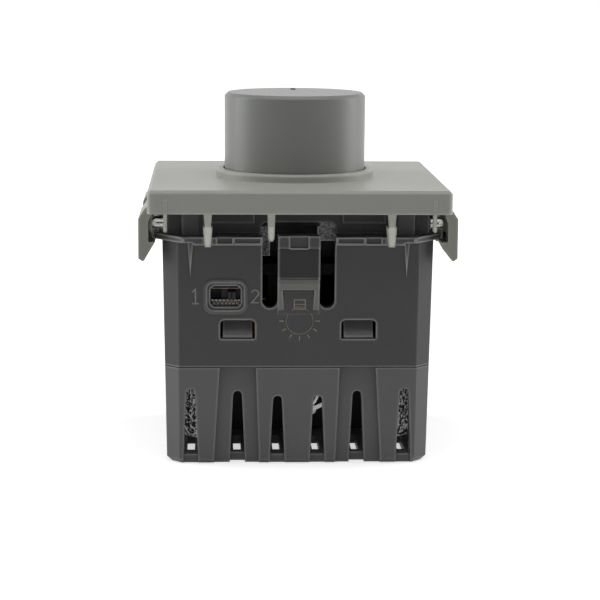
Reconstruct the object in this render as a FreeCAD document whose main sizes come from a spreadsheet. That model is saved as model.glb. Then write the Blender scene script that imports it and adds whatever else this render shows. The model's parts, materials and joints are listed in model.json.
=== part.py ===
import FreeCAD, Part
import Sketcher

import math
import os

from FreeCAD import Vector

# A two-module rotary push dimmer, standing on its back with the knob up.
# X runs to the right, Y away from the viewer and Z up; the origin is under the knob's axis,
# at the rear cover's lowest face. Every length is in millimetres and every angle in degrees.

doc = FreeCAD.newDocument("RotaryDimmer")

SIZES = {
    # Front plate and knob
    "plate_side": 45.0,
    "plate_top": 42.4,
    "plate_thick": 1.4,
    "skirt_depth": 3.5,
    "skirt_wall": 1.5,
    "plate_edge_cut": 0.45,
    "plate_corner_round": 0.9,
    "collar_width": 24.7,
    "collar_rise": 1.2,
    "collar_gap": 0.25,
    "collar_edge_cut": 0.3,
    "knob_width": 22.0,
    "knob_rise": 13.0,
    "knob_sunk": 1.4,
    "knob_wall": 1.3,
    "knob_edge_cut": 0.5,
    "pointer_depth": 0.35,
    "hub_radius": 4.5,
    "push_travel": 1.2,
    # Legs and ribs under the front plate
    "leg_offset": 13.6,
    "leg_end": 33.95,
    "leg_shoulder": 36.9,
    "leg_setback": 0.8,
    "rib_offset": 4.25,
    "rib_end": 34.8,
    "blade_offset": 19.85,
    "blade_end": 36.2,
    # Housing halves
    "body_width": 40.2,
    "body_depth": 34.8,
    "body_wall": 1.5,
    "body_draft": 1.0,
    "corner_cut": 2.1,
    "seam": 15.0,
    "flange_under": 34.25,
    "flange_thick": 0.85,
    "flange_width": 43.2,
    "flange_depth": 38.8,
    "flange_cut_x": 4.0,
    "flange_cut_y": 5.0,
    "tongue_half": 3.15,
    "slot_width": 2.3,
    "slot_bottom": 24.1,
    "window_inner": 6.5,
    "window_width": 5.25,
    "window_low": 19.4,
    "window_rise": 2.9,
    "pointer_offset": 16.2,
    "pointer_tip": 28.8,
    # Rear cover
    "floor_thick": 1.3,
    "foot_cut": 0.8,
    "bay_inner": 6.35,
    "bay_outer": 11.8,
    "bay_depth": 1.3,
    "bay_flare_in": 0.5,
    "bay_flare_out": 0.85,
    "vent_low_half": 1.16,
    "vent_top_half": 0.67,
    "vent_outer": 16.2,
    "vent_middle": 9.1,
    "vent_inner": 3.05,
    "vent_outer_top": 11.7,
    "vent_middle_top": 11.1,
    "vent_inner_top": 10.6,
    "vent_sill": 1.0,
    "floor_slot_half": 0.6,
    "floor_slot_front": 13.4,
    "floor_slot_back": 4.4,
    # Inner frame, steel bridge and claws
    "frame_width": 39.6,
    "frame_depth": 30.6,
    "frame_wall": 1.4,
    "deck_level": 38.0,
    "deck_thick": 1.4,
    "arch_half": 5.6,
    "arch_top": 36.85,
    "steel_thick": 0.9,
    "claw_reach": 24.0,
    "claw_thick": 1.5,
    "claw_tip": 31.0,
    "claw_pivot_x": 21.6,
    "claw_pivot_z": 38.0,
    "claw_pin_radius": 0.8,
    "claw_near": 5.0,
    "claw_length": 11.6,
    # Heat sink
    "sink_width": 34.6,
    "sink_leg": 2.7,
    "sink_foot": 3.5,
    "sink_plate": 1.9,
    # Rotary control and push switch
    "can_width": 15.6,
    "can_base": 30.5,
    "can_top": 37.0,
    "bush_radius": 5.0,
    "bush_top": 40.0,
    "neck_radius": 4.0,
    "shaft_radius": 2.95,
    "shaft_flat": 2.2,
    "shaft_low": 32.6,
    "shaft_high": 51.0,
    "running_gap": 0.05,
    "plunger_side": 3.6,
    "plunger_low": 25.4,
    "switch_low": 22.6,
    "switch_side": 8.4,
    "spring_radius": 1.3,
    "spring_wire": 0.13,
    "spring_turns": 3.0,
    "core_side": 3.6,
    # Boards
    "board_thick": 1.6,
    "power_board_level": 12.0,
    "power_board_width": 26.0,
    "power_board_depth": 28.0,
    "control_board_width": 28.4,
    # Selector switch
    "selector_x": -10.95,
    "selector_z": 25.9,
    "selector_window_half": 2.28,
    "selector_window_rise": 3.2,
    "selector_travel": 1.7,
    # Terminals
    "terminal_pitch": 8.5,
    "wire_y": 4.9,
    "entry_radius": 1.7,
    "screw_z": 5.6,
    "screw_radius": 1.7,
    "screw_head": 2.5,
    "driver_window": 4.4,
    "clamp_travel": 1.5,
}

sheet = doc.addObject("Spreadsheet::Sheet", "Sizes")
for row, (alias, number) in enumerate(SIZES.items(), 1):
    sheet.set(f"A{row}", alias.replace("_", " "))
    sheet.set(f"B{row}", str(number))
    sheet.setAlias(f"B{row}", alias)
doc.recompute()


class Size:
    """A length or angle together with the formula that ties it to the sheet."""

    def __init__(self, value, formula):
        self.value = float(value)
        self.formula = formula

    @staticmethod
    def of(thing):
        return thing if isinstance(thing, Size) else Size(thing, f"({float(thing)})")

    def join(self, sign, other, value):
        return Size(value, f"({self.formula} {sign} {other.formula})")

    def __add__(self, other):
        other = Size.of(other)
        return self.join("+", other, self.value + other.value)

    def __sub__(self, other):
        other = Size.of(other)
        return self.join("-", other, self.value - other.value)

    def __mul__(self, other):
        other = Size.of(other)
        return self.join("*", other, self.value * other.value)

    def __truediv__(self, other):
        other = Size.of(other)
        return self.join("/", other, self.value / other.value)

    def __radd__(self, other):
        return Size.of(other) + self

    def __rsub__(self, other):
        return Size.of(other) - self

    def __rmul__(self, other):
        return Size.of(other) * self

    def __neg__(self):
        return Size(-self.value, f"(-1 * {self.formula})")


def size(alias):
    return Size(float(sheet.get(alias)), f"Sizes.{alias}")


def tangent(angle):
    return Size(math.tan(math.radians(angle.value)), f"tan({angle.formula} * 1 deg)")


# Named sizes read back from the sheet

plate_half = size("plate_side") / 2
plate_top = size("plate_top")
plate_under = plate_top - size("plate_thick")
skirt_end = plate_top - size("skirt_depth")
skirt_inner = plate_half - size("skirt_wall")
body_half_x = size("body_width") / 2
body_half_y = size("body_depth") / 2
body_wall = size("body_wall")
body_slope = tangent(size("body_draft"))
corner_cut = size("corner_cut")
seam = size("seam")
flange_under = size("flange_under")
flange_top = flange_under + size("flange_thick")
flange_half_x = size("flange_width") / 2
flange_half_y = size("flange_depth") / 2
deck_level = size("deck_level")
knob_radius = size("knob_width") / 2
opening_radius = knob_radius + size("collar_gap")
knob_top = plate_top + size("knob_rise")
knob_low = plate_top - size("knob_sunk")
floor_thick = size("floor_thick")
tongue_half = size("tongue_half")
running_gap = size("running_gap")
shaft_radius = size("shaft_radius")
steel_top = flange_top + size("steel_thick")
wire_y = size("wire_y")
screw_z = size("screw_z")


def front_face(level):
    """Distance of the housing's front face from the centre at a level above the seam."""
    return body_half_y + (level - seam) * body_slope


# Building helpers

features = []


def bind(thing, name, amount):
    """Tie one property of a feature to its formula."""
    amount = Size.of(amount)
    thing.setExpression(name, amount.formula)


def body(label):
    made = doc.addObject("PartDesign::Body", label)
    made.Label = label
    return made


def plane(owner, role):
    return next(f for f in owner.Origin.OriginFeatures if f.Role == role)


def sketch(owner, name, role, level):
    """A sketch on one of the body's own origin planes, moved along that plane's normal.

    XY faces up. XZ faces the viewer, so its level is the distance in front of the axis.
    YZ faces right.
    """
    made = owner.newObject("Sketcher::SketchObject", name)
    made.AttachmentSupport = (plane(owner, role), [""])
    made.MapMode = "FlatFace"
    bind(made, "AttachmentOffset.Base.z", level)
    return made


def pin(drawing, geometry, point, kind, amount):
    """Hold one coordinate of a point at its distance from the sketch's origin."""
    amount = Size.of(amount)
    number = drawing.addConstraint(
        Sketcher.Constraint(kind, -1, 1, geometry, point, amount.value)
    )
    drawing.setExpression(f"Constraints[{number}]", amount.formula)


def loop(drawing, points):
    """Draw a closed outline through points (x, y), each tied to its own formula.

    A point (x, y, (cx, cy), turn) starts an arc about that centre, anticlockwise where turn is 1
    and clockwise where it is -1. The other edges are straight.
    """
    corners = [(Size.of(p[0]), Size.of(p[1])) for p in points]
    ends = []
    for index, point in enumerate(points):
        start = Vector(corners[index][0].value, corners[index][1].value, 0)
        after = corners[(index + 1) % len(points)]
        stop = Vector(after[0].value, after[1].value, 0)
        if len(point) == 2:
            number = drawing.addGeometry(Part.LineSegment(start, stop))
            ends.append((number, 1, 2))
            continue
        centre_size = (Size.of(point[2][0]), Size.of(point[2][1]))
        centre = Vector(centre_size[0].value, centre_size[1].value, 0)
        first, last = (start, stop) if point[3] > 0 else (stop, start)
        circle = Part.Circle(centre, Vector(0, 0, 1), (start - centre).Length)
        from_angle = math.atan2(first.y - centre.y, first.x - centre.x)
        to_angle = math.atan2(last.y - centre.y, last.x - centre.x)
        number = drawing.addGeometry(Part.ArcOfCircle(circle, from_angle, to_angle))
        ends.append((number, 1, 2) if point[3] > 0 else (number, 2, 1))
        flat = abs(stop.x - start.x) >= abs(stop.y - start.y)
        kind = "DistanceY" if flat else "DistanceX"
        pin(drawing, number, 3, kind, centre_size[1] if flat else centre_size[0])
    for index, (number, start, stop) in enumerate(ends):
        after = ends[(index + 1) % len(ends)]
        drawing.addConstraint(
            Sketcher.Constraint("Coincident", number, stop, after[0], after[1])
        )
        pin(drawing, number, start, "DistanceX", corners[index][0])
        pin(drawing, number, start, "DistanceY", corners[index][1])


def circle(drawing, x, y, radius):
    x, y, radius = Size.of(x), Size.of(y), Size.of(radius)
    round_line = Part.Circle(Vector(x.value, y.value, 0), Vector(0, 0, 1), radius.value)
    number = drawing.addGeometry(round_line)
    pin(drawing, number, 3, "DistanceX", x)
    pin(drawing, number, 3, "DistanceY", y)
    held = drawing.addConstraint(Sketcher.Constraint("Radius", number, radius.value))
    drawing.setExpression(f"Constraints[{held}]", radius.formula)


def rectangle(drawing, x0, y0, x1, y1):
    loop(drawing, [(x0, y0), (x1, y0), (x1, y1), (x0, y1)])


def octagon(drawing, half_x, half_y, cut_x, cut_y):
    """A rectangle about the origin whose four corners are cut off."""
    points = []
    for sx, sy in ((1, 1), (-1, 1), (-1, -1), (1, -1)):
        on_end = (sx * half_x, sy * (half_y - cut_y))
        on_side = (sx * (half_x - cut_x), sy * half_y)
        points += [on_end, on_side] if sx == sy else [on_side, on_end]
    loop(drawing, points)


def rounded(drawing, x0, y0, x1, y1, radius):
    """A rectangle with round corners."""
    loop(
        drawing,
        [
            (x0 + radius, y0),
            (x1 - radius, y0, (x1 - radius, y0 + radius), 1),
            (x1, y0 + radius),
            (x1, y1 - radius, (x1 - radius, y1 - radius), 1),
            (x1 - radius, y1),
            (x0 + radius, y1, (x0 + radius, y1 - radius), 1),
            (x0, y1 - radius),
            (x0, y0 + radius, (x0 + radius, y0 + radius), 1),
        ],
    )


def grown(owner, kind, drawing, length, back):
    made = owner.newObject(kind, drawing.Name + "_" + kind.split("::")[1].lower())
    made.Profile = drawing
    made.Reversed = back
    made.Refine = False
    bind(made, "Length", length)
    drawing.Visibility = False
    features.append(made)
    owner.Tip = made
    return made


def pad(owner, drawing, length, back=False):
    """Add material along the sketch's normal, or against it where back is set."""
    return grown(owner, "PartDesign::Pad", drawing, length, back)


def pocket(owner, drawing, length, back=False):
    """Cut against the sketch's normal, or along it where back is set."""
    return grown(owner, "PartDesign::Pocket", drawing, length, back)


def turned(owner, drawing, kind="PartDesign::Revolution"):
    """Turn a half section about the Z axis, to add it or to cut it."""
    made = owner.newObject(kind, drawing.Name + "_turned")
    made.Profile = drawing
    made.ReferenceAxis = (drawing, ["V_Axis"])
    made.Angle = 360
    made.Refine = False
    features.append(made)
    owner.Tip = made
    return made


def mirrored(owner, originals, role):
    made = owner.newObject("PartDesign::Mirrored", originals[0].Name + "_mirrored")
    made.Originals = originals
    made.MirrorPlane = (plane(owner, role), [""])
    made.Refine = False
    owner.Tip = made
    return made


def dressed(owner, kind, radius, wanted):
    """Round or chamfer the edges of the body so far that the test picks."""
    doc.recompute()
    base = owner.Tip
    names = [f"Edge{n}" for n, edge in enumerate(base.Shape.Edges, 1) if wanted(edge)]
    if not names:
        raise RuntimeError(f"{owner.Label}: no edge to dress")
    made = owner.newObject(kind, f"{base.Name}_{kind.split('::')[1].lower()}")
    made.Base = (base, names)
    bind(made, "Radius" if kind.endswith("Fillet") else "Size", radius)
    owner.Tip = made
    return made


def fillet(owner, radius, wanted):
    return dressed(owner, "PartDesign::Fillet", radius, wanted)


def chamfer(owner, width, wanted):
    return dressed(owner, "PartDesign::Chamfer", width, wanted)


def drafted(owner, angle, level):
    """Slope the body's upright faces so that it widens upwards, hinged at a level."""
    doc.recompute()
    base = owner.Tip
    names = [
        f"Face{n}"
        for n, face in enumerate(base.Shape.Faces, 1)
        if abs(face.normalAt(0, 0).z) < 0.01
    ]
    made = owner.newObject("PartDesign::Draft", base.Name + "_draft")
    made.Base = (base, names)
    hinge = owner.newObject("PartDesign::Plane", base.Name + "_hinge")
    hinge.AttachmentSupport = (plane(owner, "XY_Plane"), [""])
    hinge.MapMode = "FlatFace"
    bind(hinge, "AttachmentOffset.Base.z", level)
    made.NeutralPlane = (hinge, [""])
    made.Reversed = True
    bind(made, "Angle", angle)
    owner.Tip = made
    return made


def upright(edge):
    """True for an edge that runs up, a drafted corner included."""
    box = edge.BoundBox
    return box.ZLength > 4 * max(box.XLength, box.YLength)


def near(amount, wanted, slack=0.02):
    return abs(amount - Size.of(wanted).value) < slack


def level_edge(edge, level):
    """True for an edge that lies in the horizontal plane at that level."""
    box = edge.BoundBox
    return box.ZLength < 0.01 and near(box.ZMin, level)


def place(made, x, y, z):
    for axis, amount in zip("xyz", (x, y, z)):
        bind(made, f"Placement.Base.{axis}", amount)


def block(name, x0, x1, y0, y1, z0, z1):
    """A box between two corners."""
    made = doc.addObject("Part::Box", name)
    for side, low, high in (("Length", x0, x1), ("Width", y0, y1), ("Height", z0, z1)):
        bind(made, side, Size.of(high) - low)
    place(made, x0, y0, z0)
    return made


TURNS = {
    "Z": FreeCAD.Rotation(),
    "Y": FreeCAD.Rotation(Vector(1, 0, 0), -90),
    "X": FreeCAD.Rotation(Vector(0, 1, 0), 90),
}


def rod(name, radius, start, length, axis="Z"):
    """A cylinder that starts at a point and runs along an axis."""
    made = doc.addObject("Part::Cylinder", name)
    bind(made, "Radius", radius)
    bind(made, "Height", length)
    made.Placement = FreeCAD.Placement(Vector(0, 0, 0), TURNS[axis])
    place(made, *start)
    return made


def hexagon(name, radius, start, length, axis="Z", sides=6):
    """A regular prism, six-sided unless stated, that starts at a point and runs along an axis."""
    made = doc.addObject("Part::Prism", name)
    made.Polygon = sides
    bind(made, "Circumradius", radius)
    bind(made, "Height", length)
    made.Placement = FreeCAD.Placement(Vector(0, 0, 0), TURNS[axis])
    place(made, *start)
    return made


def fused(name, parts):
    made = doc.addObject("Part::MultiFuse", name)
    made.Shapes = parts
    return made


def cut(name, base, tools):
    made = doc.addObject("Part::Cut", name)
    made.Base = base
    made.Tool = tools[0] if len(tools) == 1 else fused(name + "_tools", tools)
    return made


def labelled(made, label):
    made.Label = label
    return made


# Front plate

def cover_plate():
    part = body("cover_plate")
    drawing = sketch(part, "plate_outline", "XY_Plane", skirt_end)
    rectangle(drawing, -plate_half, -plate_half, plate_half, plate_half)
    pad(part, drawing, size("skirt_depth"))
    fillet(part, size("plate_corner_round"), upright)
    chamfer(part, size("plate_edge_cut"), lambda e: level_edge(e, plate_top))

    drawing = sketch(part, "plate_hollow", "XY_Plane", skirt_end)
    rectangle(drawing, -skirt_inner, -skirt_inner, skirt_inner, skirt_inner)
    pocket(part, drawing, size("skirt_depth") - size("plate_thick"), back=True)

    drawing = sketch(part, "collar_ring", "XZ_Plane", 0)
    collar_top = plate_top + size("collar_rise")
    collar_edge = size("collar_width") / 2
    edge = size("collar_edge_cut")
    loop(drawing, [(opening_radius - 1, plate_under), (collar_edge, plate_under),
                   (collar_edge, collar_top - edge), (collar_edge - edge, collar_top),
                   (opening_radius - 1, collar_top)])
    turned(part, drawing)
    drawing = sketch(part, "knob_opening", "XY_Plane", plate_under - 1)
    circle(drawing, 0, 0, opening_radius)
    pocket(part, drawing, 1 + size("plate_thick") + size("collar_rise"), back=True)

    # Snap legs hang from the skirt's lower edge, in pairs at the front and the back.
    face = plate_half - size("leg_setback")
    shoulder = size("leg_shoulder")
    added = []
    inner = flange_half_y + 0.15
    for side in (-1, 1):
        middle = side * size("leg_offset")
        mark = "right" if side > 0 else "left"
        drawing = sketch(part, f"leg_{mark}", "XZ_Plane", face)
        arm = [(-0.62, skirt_end + 1), (-0.62, skirt_end), (-0.45, shoulder - 0.3)]
        outline = arm + [(-x, z) for x, z in reversed(arm)]
        loop(drawing, [(middle + x, z) for x, z in outline])
        added.append(pad(part, drawing, 1.2, back=True))
        drawing = sketch(part, f"leg_hook_{mark}", "XZ_Plane", face)
        hook = [(-0.72, shoulder), (-0.45, size("leg_end"))]
        outline = hook + [(-x, z) for x, z in reversed(hook)]
        loop(drawing, [(middle + x, z) for x, z in outline])
        added.append(pad(part, drawing, face - inner, back=True))
        drawing = sketch(part, f"leg_nib_{mark}", "XZ_Plane", inner + 0.2)
        rectangle(drawing, middle - 0.4, flange_under + 0.15, middle + 0.4, flange_top - 0.2)
        added.append(pad(part, drawing, 0.7, back=True))
    for side in (-1, 1):
        mark = "right" if side > 0 else "left"
        middle = side * size("blade_offset")
        drawing = sketch(part, f"corner_blade_{mark}", "XZ_Plane", plate_half + 0.1)
        half = 0.27
        loop(
            drawing,
            [
                (middle - half, plate_top - 1.4),
                (middle - half, size("blade_end") + 0.2),
                (middle, size("blade_end")),
                (middle + half, size("blade_end") + 0.2),
                (middle + half, plate_top - 1.4),
            ],
        )
        added.append(pad(part, drawing, 1.1, back=True))
    mirrored(part, added, "XZ_Plane")

    drawing = sketch(part, "guide_rib", "XZ_Plane", face)
    middle = -size("rib_offset")
    rib = [(-0.58, skirt_end + 1), (-0.58, skirt_end), (-0.46, size("rib_end") + 0.4)]
    rib.append((-0.2, size("rib_end")))
    outline = rib + [(-x, z) for x, z in reversed(rib)]
    loop(drawing, [(middle + x, z) for x, z in outline])
    pad(part, drawing, 0.9, back=True)
    return part


# Knob, its shaft and the clip that holds them together

def knob():
    part = body("knob")
    wall = size("knob_wall")
    inner = knob_radius - wall
    hub = size("hub_radius")
    roof = knob_top - wall
    hub_low = size("bush_top") + size("push_travel") + 1
    edge = size("knob_edge_cut")
    drawing = sketch(part, "knob_section", "XZ_Plane", 0)
    loop(
        drawing,
        [
            (0, knob_top),
            (0, size("shaft_high")),
            (shaft_radius, size("shaft_high")),
            (shaft_radius, hub_low),
            (hub, hub_low),
            (hub, roof),
            (inner, roof),
            (inner, knob_low),
            (knob_radius, knob_low),
            (knob_radius, knob_top - edge),
            (knob_radius - edge, knob_top),
        ],
    )
    turned(part, drawing)
    # Stiffening ribs inside, between the hub and the skirt
    drawing = sketch(part, "knob_rib", "XY_Plane", knob_low + 5)
    rectangle(drawing, hub - 0.3, -0.5, inner + 0.2, 0.5)
    first = pad(part, drawing, roof - knob_low - 4.8)
    ribs = part.newObject("PartDesign::PolarPattern", "knob_ribs")
    ribs.Originals = [first]
    ribs.Axis = (plane(part, "Z_Axis"), [""])
    ribs.Angle = 360
    ribs.Occurrences = 3
    part.Tip = ribs
    # A sunk pointer line on the top face
    drawing = sketch(part, "pointer_line", "XY_Plane", knob_top)
    rectangle(drawing, -0.4, 5.2, 0.4, knob_radius - 1.7)
    pocket(part, drawing, size("pointer_depth"))
    return part


def flatted(name, radius, flat, low, high):
    """A round bar with one flat along it, as the shaft and its sockets have."""
    bar = rod(name + "_bar", radius, (0, 0, low), Size.of(high) - low)
    side = block(name + "_side", flat, radius + 1, -radius - 1, radius + 1, low - 1, high + 1)
    return cut(name, bar, [side])


def knob_shaft():
    low, high = size("shaft_low"), size("shaft_high")
    step = size("bush_top") + size("push_travel") + 0.3
    round_part = rod("shaft_top", shaft_radius, (0, 0, step), high - step)
    flat_part = flatted("shaft_lower", shaft_radius, size("shaft_flat"), low, step)
    return labelled(fused("knob_shaft", [round_part, flat_part]), "knob_shaft")


def shaft_clip():
    hub = size("hub_radius")
    low = size("bush_top") + size("push_travel") + 1.8
    ring = rod("clip_outer", hub + 0.5, (0, 0, low), 2.0)
    bore = rod("clip_inner", hub, (0, 0, low - 1), 4)
    mouth = hub * 0.8
    gap = block("clip_gap", -mouth, mouth, 0, hub + 2, low - 1, low + 4)
    return labelled(cut("shaft_clip", ring, [bore, gap]), "shaft_clip")


# Upper housing half, the moulding that takes the most care

def upper_housing():
    part = body("upper_housing")
    drawing = sketch(part, "housing_outline", "XY_Plane", seam)
    octagon(drawing, body_half_x, body_half_y, corner_cut, corner_cut)
    pad(part, drawing, flange_under - seam)
    drafted(part, size("body_draft"), seam)
    drawing = sketch(part, "flange_outline", "XY_Plane", flange_under)
    octagon(drawing, flange_half_x, flange_half_y, size("flange_cut_x"), size("flange_cut_y"))
    pad(part, drawing, size("flange_thick"))

    # Lugs at the flange's ends, and gaps beside them for the bridge's ears
    lug_near, lug_far = Size.of(10.9), flange_half_y - size("flange_cut_y")
    lug_outer = size("claw_reach") - size("claw_thick") - 0.55
    drawing = sketch(part, "flange_lugs", "XY_Plane", flange_under)
    for sx in (-1, 1):
        for sy in (-1, 1):
            inner, outer = sx * (flange_half_x - 0.7), sx * lug_outer
            low, high = sy * lug_near, sy * lug_far
            loop(drawing, [(inner, low), (outer, low), (outer, high), (inner, high)])
    pad(part, drawing, size("flange_thick") + 0.8)
    drawing = sketch(part, "ear_gaps", "XY_Plane", flange_top + 1)
    for sx in (-1, 1):
        for sy in (-1, 1):
            inner, outer = sx * (flange_half_x - 0.75), sx * (lug_outer + 0.65)
            low, high = sy * size("claw_near"), sy * (lug_near - 0.1)
            loop(drawing, [(inner, low), (outer, low), (outer, high), (inner, high)])
    pocket(part, drawing, size("flange_thick") + 2)

    # Hollow, open at the seam and at the flange
    drawing = sketch(part, "housing_hollow", "XY_Plane", seam)
    octagon(drawing, body_half_x - body_wall, body_half_y - body_wall, corner_cut, corner_cut)
    pocket(part, drawing, flange_top - seam, back=True)

    # Bosses for the bridge's screws, in the two rear corners
    boss_low = flange_top - 8
    drawing = sketch(part, "screw_bosses", "XY_Plane", boss_low)
    reach_x, reach_y = body_half_x - body_wall + 0.6, body_half_y - body_wall + 0.5
    for sx in (-1, 1):
        inner, outer = sx * (reach_x - 5.5), sx * reach_x
        loop(drawing, [(inner, reach_y - 7.2), (outer, reach_y - 7.2), (outer, reach_y - 2.1),
                       (outer - sx * 2.1, reach_y), (inner, reach_y)])
    pad(part, drawing, flange_top - boss_low)
    drawing = sketch(part, "screw_pilots", "XY_Plane", flange_top)
    for sx in (-1, 1):
        circle(drawing, sx * screw_x, screw_y, 1.0)
    pocket(part, drawing, 6.5)

    # Thicker lip under the flange, notched and sunk along its edge
    copied = []
    lip_end = size("pointer_offset") - 0.1
    lip_depth = flange_half_y - front_face(flange_under)
    drawing = sketch(part, "flange_lip", "XZ_Plane", flange_half_y - 0.02)
    for sx in (-1, 1):
        ends = (sx * (tongue_half + 0.5), sx * lip_end)
        loop(drawing, [(ends[0], flange_under - 0.35), (ends[1] - sx * 0.5, flange_under - 0.35),
                       (ends[1], flange_under + 0.2), (ends[0], flange_under + 0.2)])
    pad(part, drawing, lip_depth + 0.3, back=True)
    drawing = sketch(part, "flange_notches", "XZ_Plane", flange_half_y + 1)
    for sx in (-1, 1):
        loop(drawing, [(sx * 10.0, flange_under - 0.1), (sx * 12.2, flange_under - 0.1),
                       (sx * 12.2, flange_top + 1), (sx * 10.0, flange_top + 1)])
    pocket(part, drawing, 1.45)
    drawing = sketch(part, "flange_panels", "XZ_Plane", flange_half_y + 1)
    for sx in (-1, 1):
        loop(drawing, [(sx * 5.85, flange_under), (sx * 9.6, flange_under),
                       (sx * 9.6, flange_top - 0.2), (sx * 5.85, flange_top - 0.2)])
    pocket(part, drawing, 1.2)
    drawing = sketch(part, "leg_seats", "XZ_Plane", flange_half_y + 1)
    for sx in (-1, 1):
        middle = sx * size("leg_offset")
        rectangle(drawing, middle - 0.55, flange_under, middle + 0.55, flange_top - 0.1)
    copied.append(pocket(part, drawing, 1.6))

    # Latch tongue between two slots
    face = front_face(flange_under)
    wall_line = front_face(slot_floor)
    ramp_low = slot_floor - 0.9
    drawing = sketch(part, "tongue_profile", "YZ_Plane", -tongue_half)
    lip = flange_half_y + 0.1
    loop(
        drawing,
        [
            (-(face - 0.8), flange_top + 0.2),
            (-lip, flange_top + 0.2),
            (-lip, flange_under - 0.75),
            (-(lip - 0.35), flange_under - 1.0),
            (-(lip - 0.35), flange_under - 5.4),
            (-(lip - 0.8), flange_under - 5.7),
            (-(lip - 0.8), flange_under - 6.3),
            (-(lip - 1.35), flange_under - 7.2),
            (-(wall_line + 0.02), ramp_low),
            (-(wall_line - 0.8), ramp_low),
        ],
    )
    copied.append(pad(part, drawing, tongue_half * 2))
    drawing = sketch(part, "tongue_recess", "XZ_Plane", lip + 1)
    recess_top = flange_under - 7.25
    loop(drawing, [(-2.1, ramp_low - 0.5), (2.1, ramp_low - 0.5), (2.4, recess_top), (-2.4, recess_top)])
    copied.append(pocket(part, drawing, lip + 1 - wall_line - 0.1))
    drawing = sketch(part, "tongue_notch", "XZ_Plane", lip + 1)
    rectangle(drawing, -1.35, flange_under - 0.75, 1.35, flange_top + 1)
    copied.append(pocket(part, drawing, 1.35))
    drawing = sketch(part, "tongue_slots", "XZ_Plane", lip + 1)
    radius = size("slot_width") / 2
    for sx in (-1, 1):
        centre = (sx * (tongue_half + radius), slot_floor + radius)
        left, right = centre[0] - radius, centre[0] + radius
        loop(drawing, [(left, flange_top + 1), (left, centre[1], centre, 1),
                       (right, centre[1]), (right, flange_top + 1)])
    copied.append(pocket(part, drawing, lip + 2.6 - (front_face(slot_floor) - body_wall)))

    # Snap windows that take the rear cover's hooks
    low, high = size("window_low"), size("window_low") + size("window_rise")
    corner = 0.65
    drawing = sketch(part, "snap_windows", "XZ_Plane", body_half_y + 2)
    for sx in (-1, 1):
        outer = size("window_inner") + size("window_width")
        x0 = size("window_inner") if sx > 0 else -outer
        x1 = outer if sx > 0 else -size("window_inner")
        loop(drawing, [(x0, low), (x1, low), (x1, high - corner, (x1 - corner, high - corner), 1),
                       (x1 - corner, high), (x0 + corner, high, (x0 + corner, high - corner), 1),
                       (x0, high - corner)])
    copied.append(pocket(part, drawing, 2.6 + body_wall))

    # Narrow tapering ribs beside the tongue
    drawing = sketch(part, "pointers", "XZ_Plane", face + 0.3)
    for sx in (-1, 1):
        middle = sx * size("pointer_offset")
        loop(drawing, [(middle - 0.42, flange_under + 0.1), (middle, size("pointer_tip")),
                       (middle + 0.42, flange_under + 0.1)])
    copied.append(pad(part, drawing, 1.0, back=True))
    mirrored(part, copied, "XZ_Plane")

    # Selector window in its raised surround, at the front only
    middle_x, middle_z = size("selector_x"), size("selector_z")
    half_x, half_z = size("selector_window_half"), size("selector_window_rise") / 2
    level = front_face(middle_z) + 0.25
    drawing = sketch(part, "selector_bead", "XZ_Plane", level)
    edge = Size.of(1.15)
    rounded(drawing, middle_x - half_x - edge, middle_z - half_z - edge,
            middle_x + half_x + edge, middle_z + half_z + edge, Size.of(1.6))
    pad(part, drawing, 1.0, back=True)
    chamfer(part, 0.2, lambda e: near(e.BoundBox.YMin, -level) and e.BoundBox.YLength < 0.01)
    drawing = sketch(part, "selector_sink", "XZ_Plane", level + 1)
    edge = Size.of(0.45)
    rounded(drawing, middle_x - half_x - edge, middle_z - half_z - edge,
            middle_x + half_x + edge, middle_z + half_z + edge, Size.of(0.9))
    pocket(part, drawing, 1.35)
    drawing = sketch(part, "selector_window", "XZ_Plane", level + 1)
    nick = 0.5
    left, right = middle_x - half_x, middle_x + half_x
    low, high = middle_z - half_z, middle_z + half_z
    loop(drawing, [(left + nick, low), (right - nick, low), (right, low + nick), (right, high - nick),
                   (right - nick, high), (left + nick, high), (left, high - nick), (left, low + nick)])
    pocket(part, drawing, body_wall + 2)
    return part


# Rear housing half with flared bays, tapering vents and a slotted floor

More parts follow.
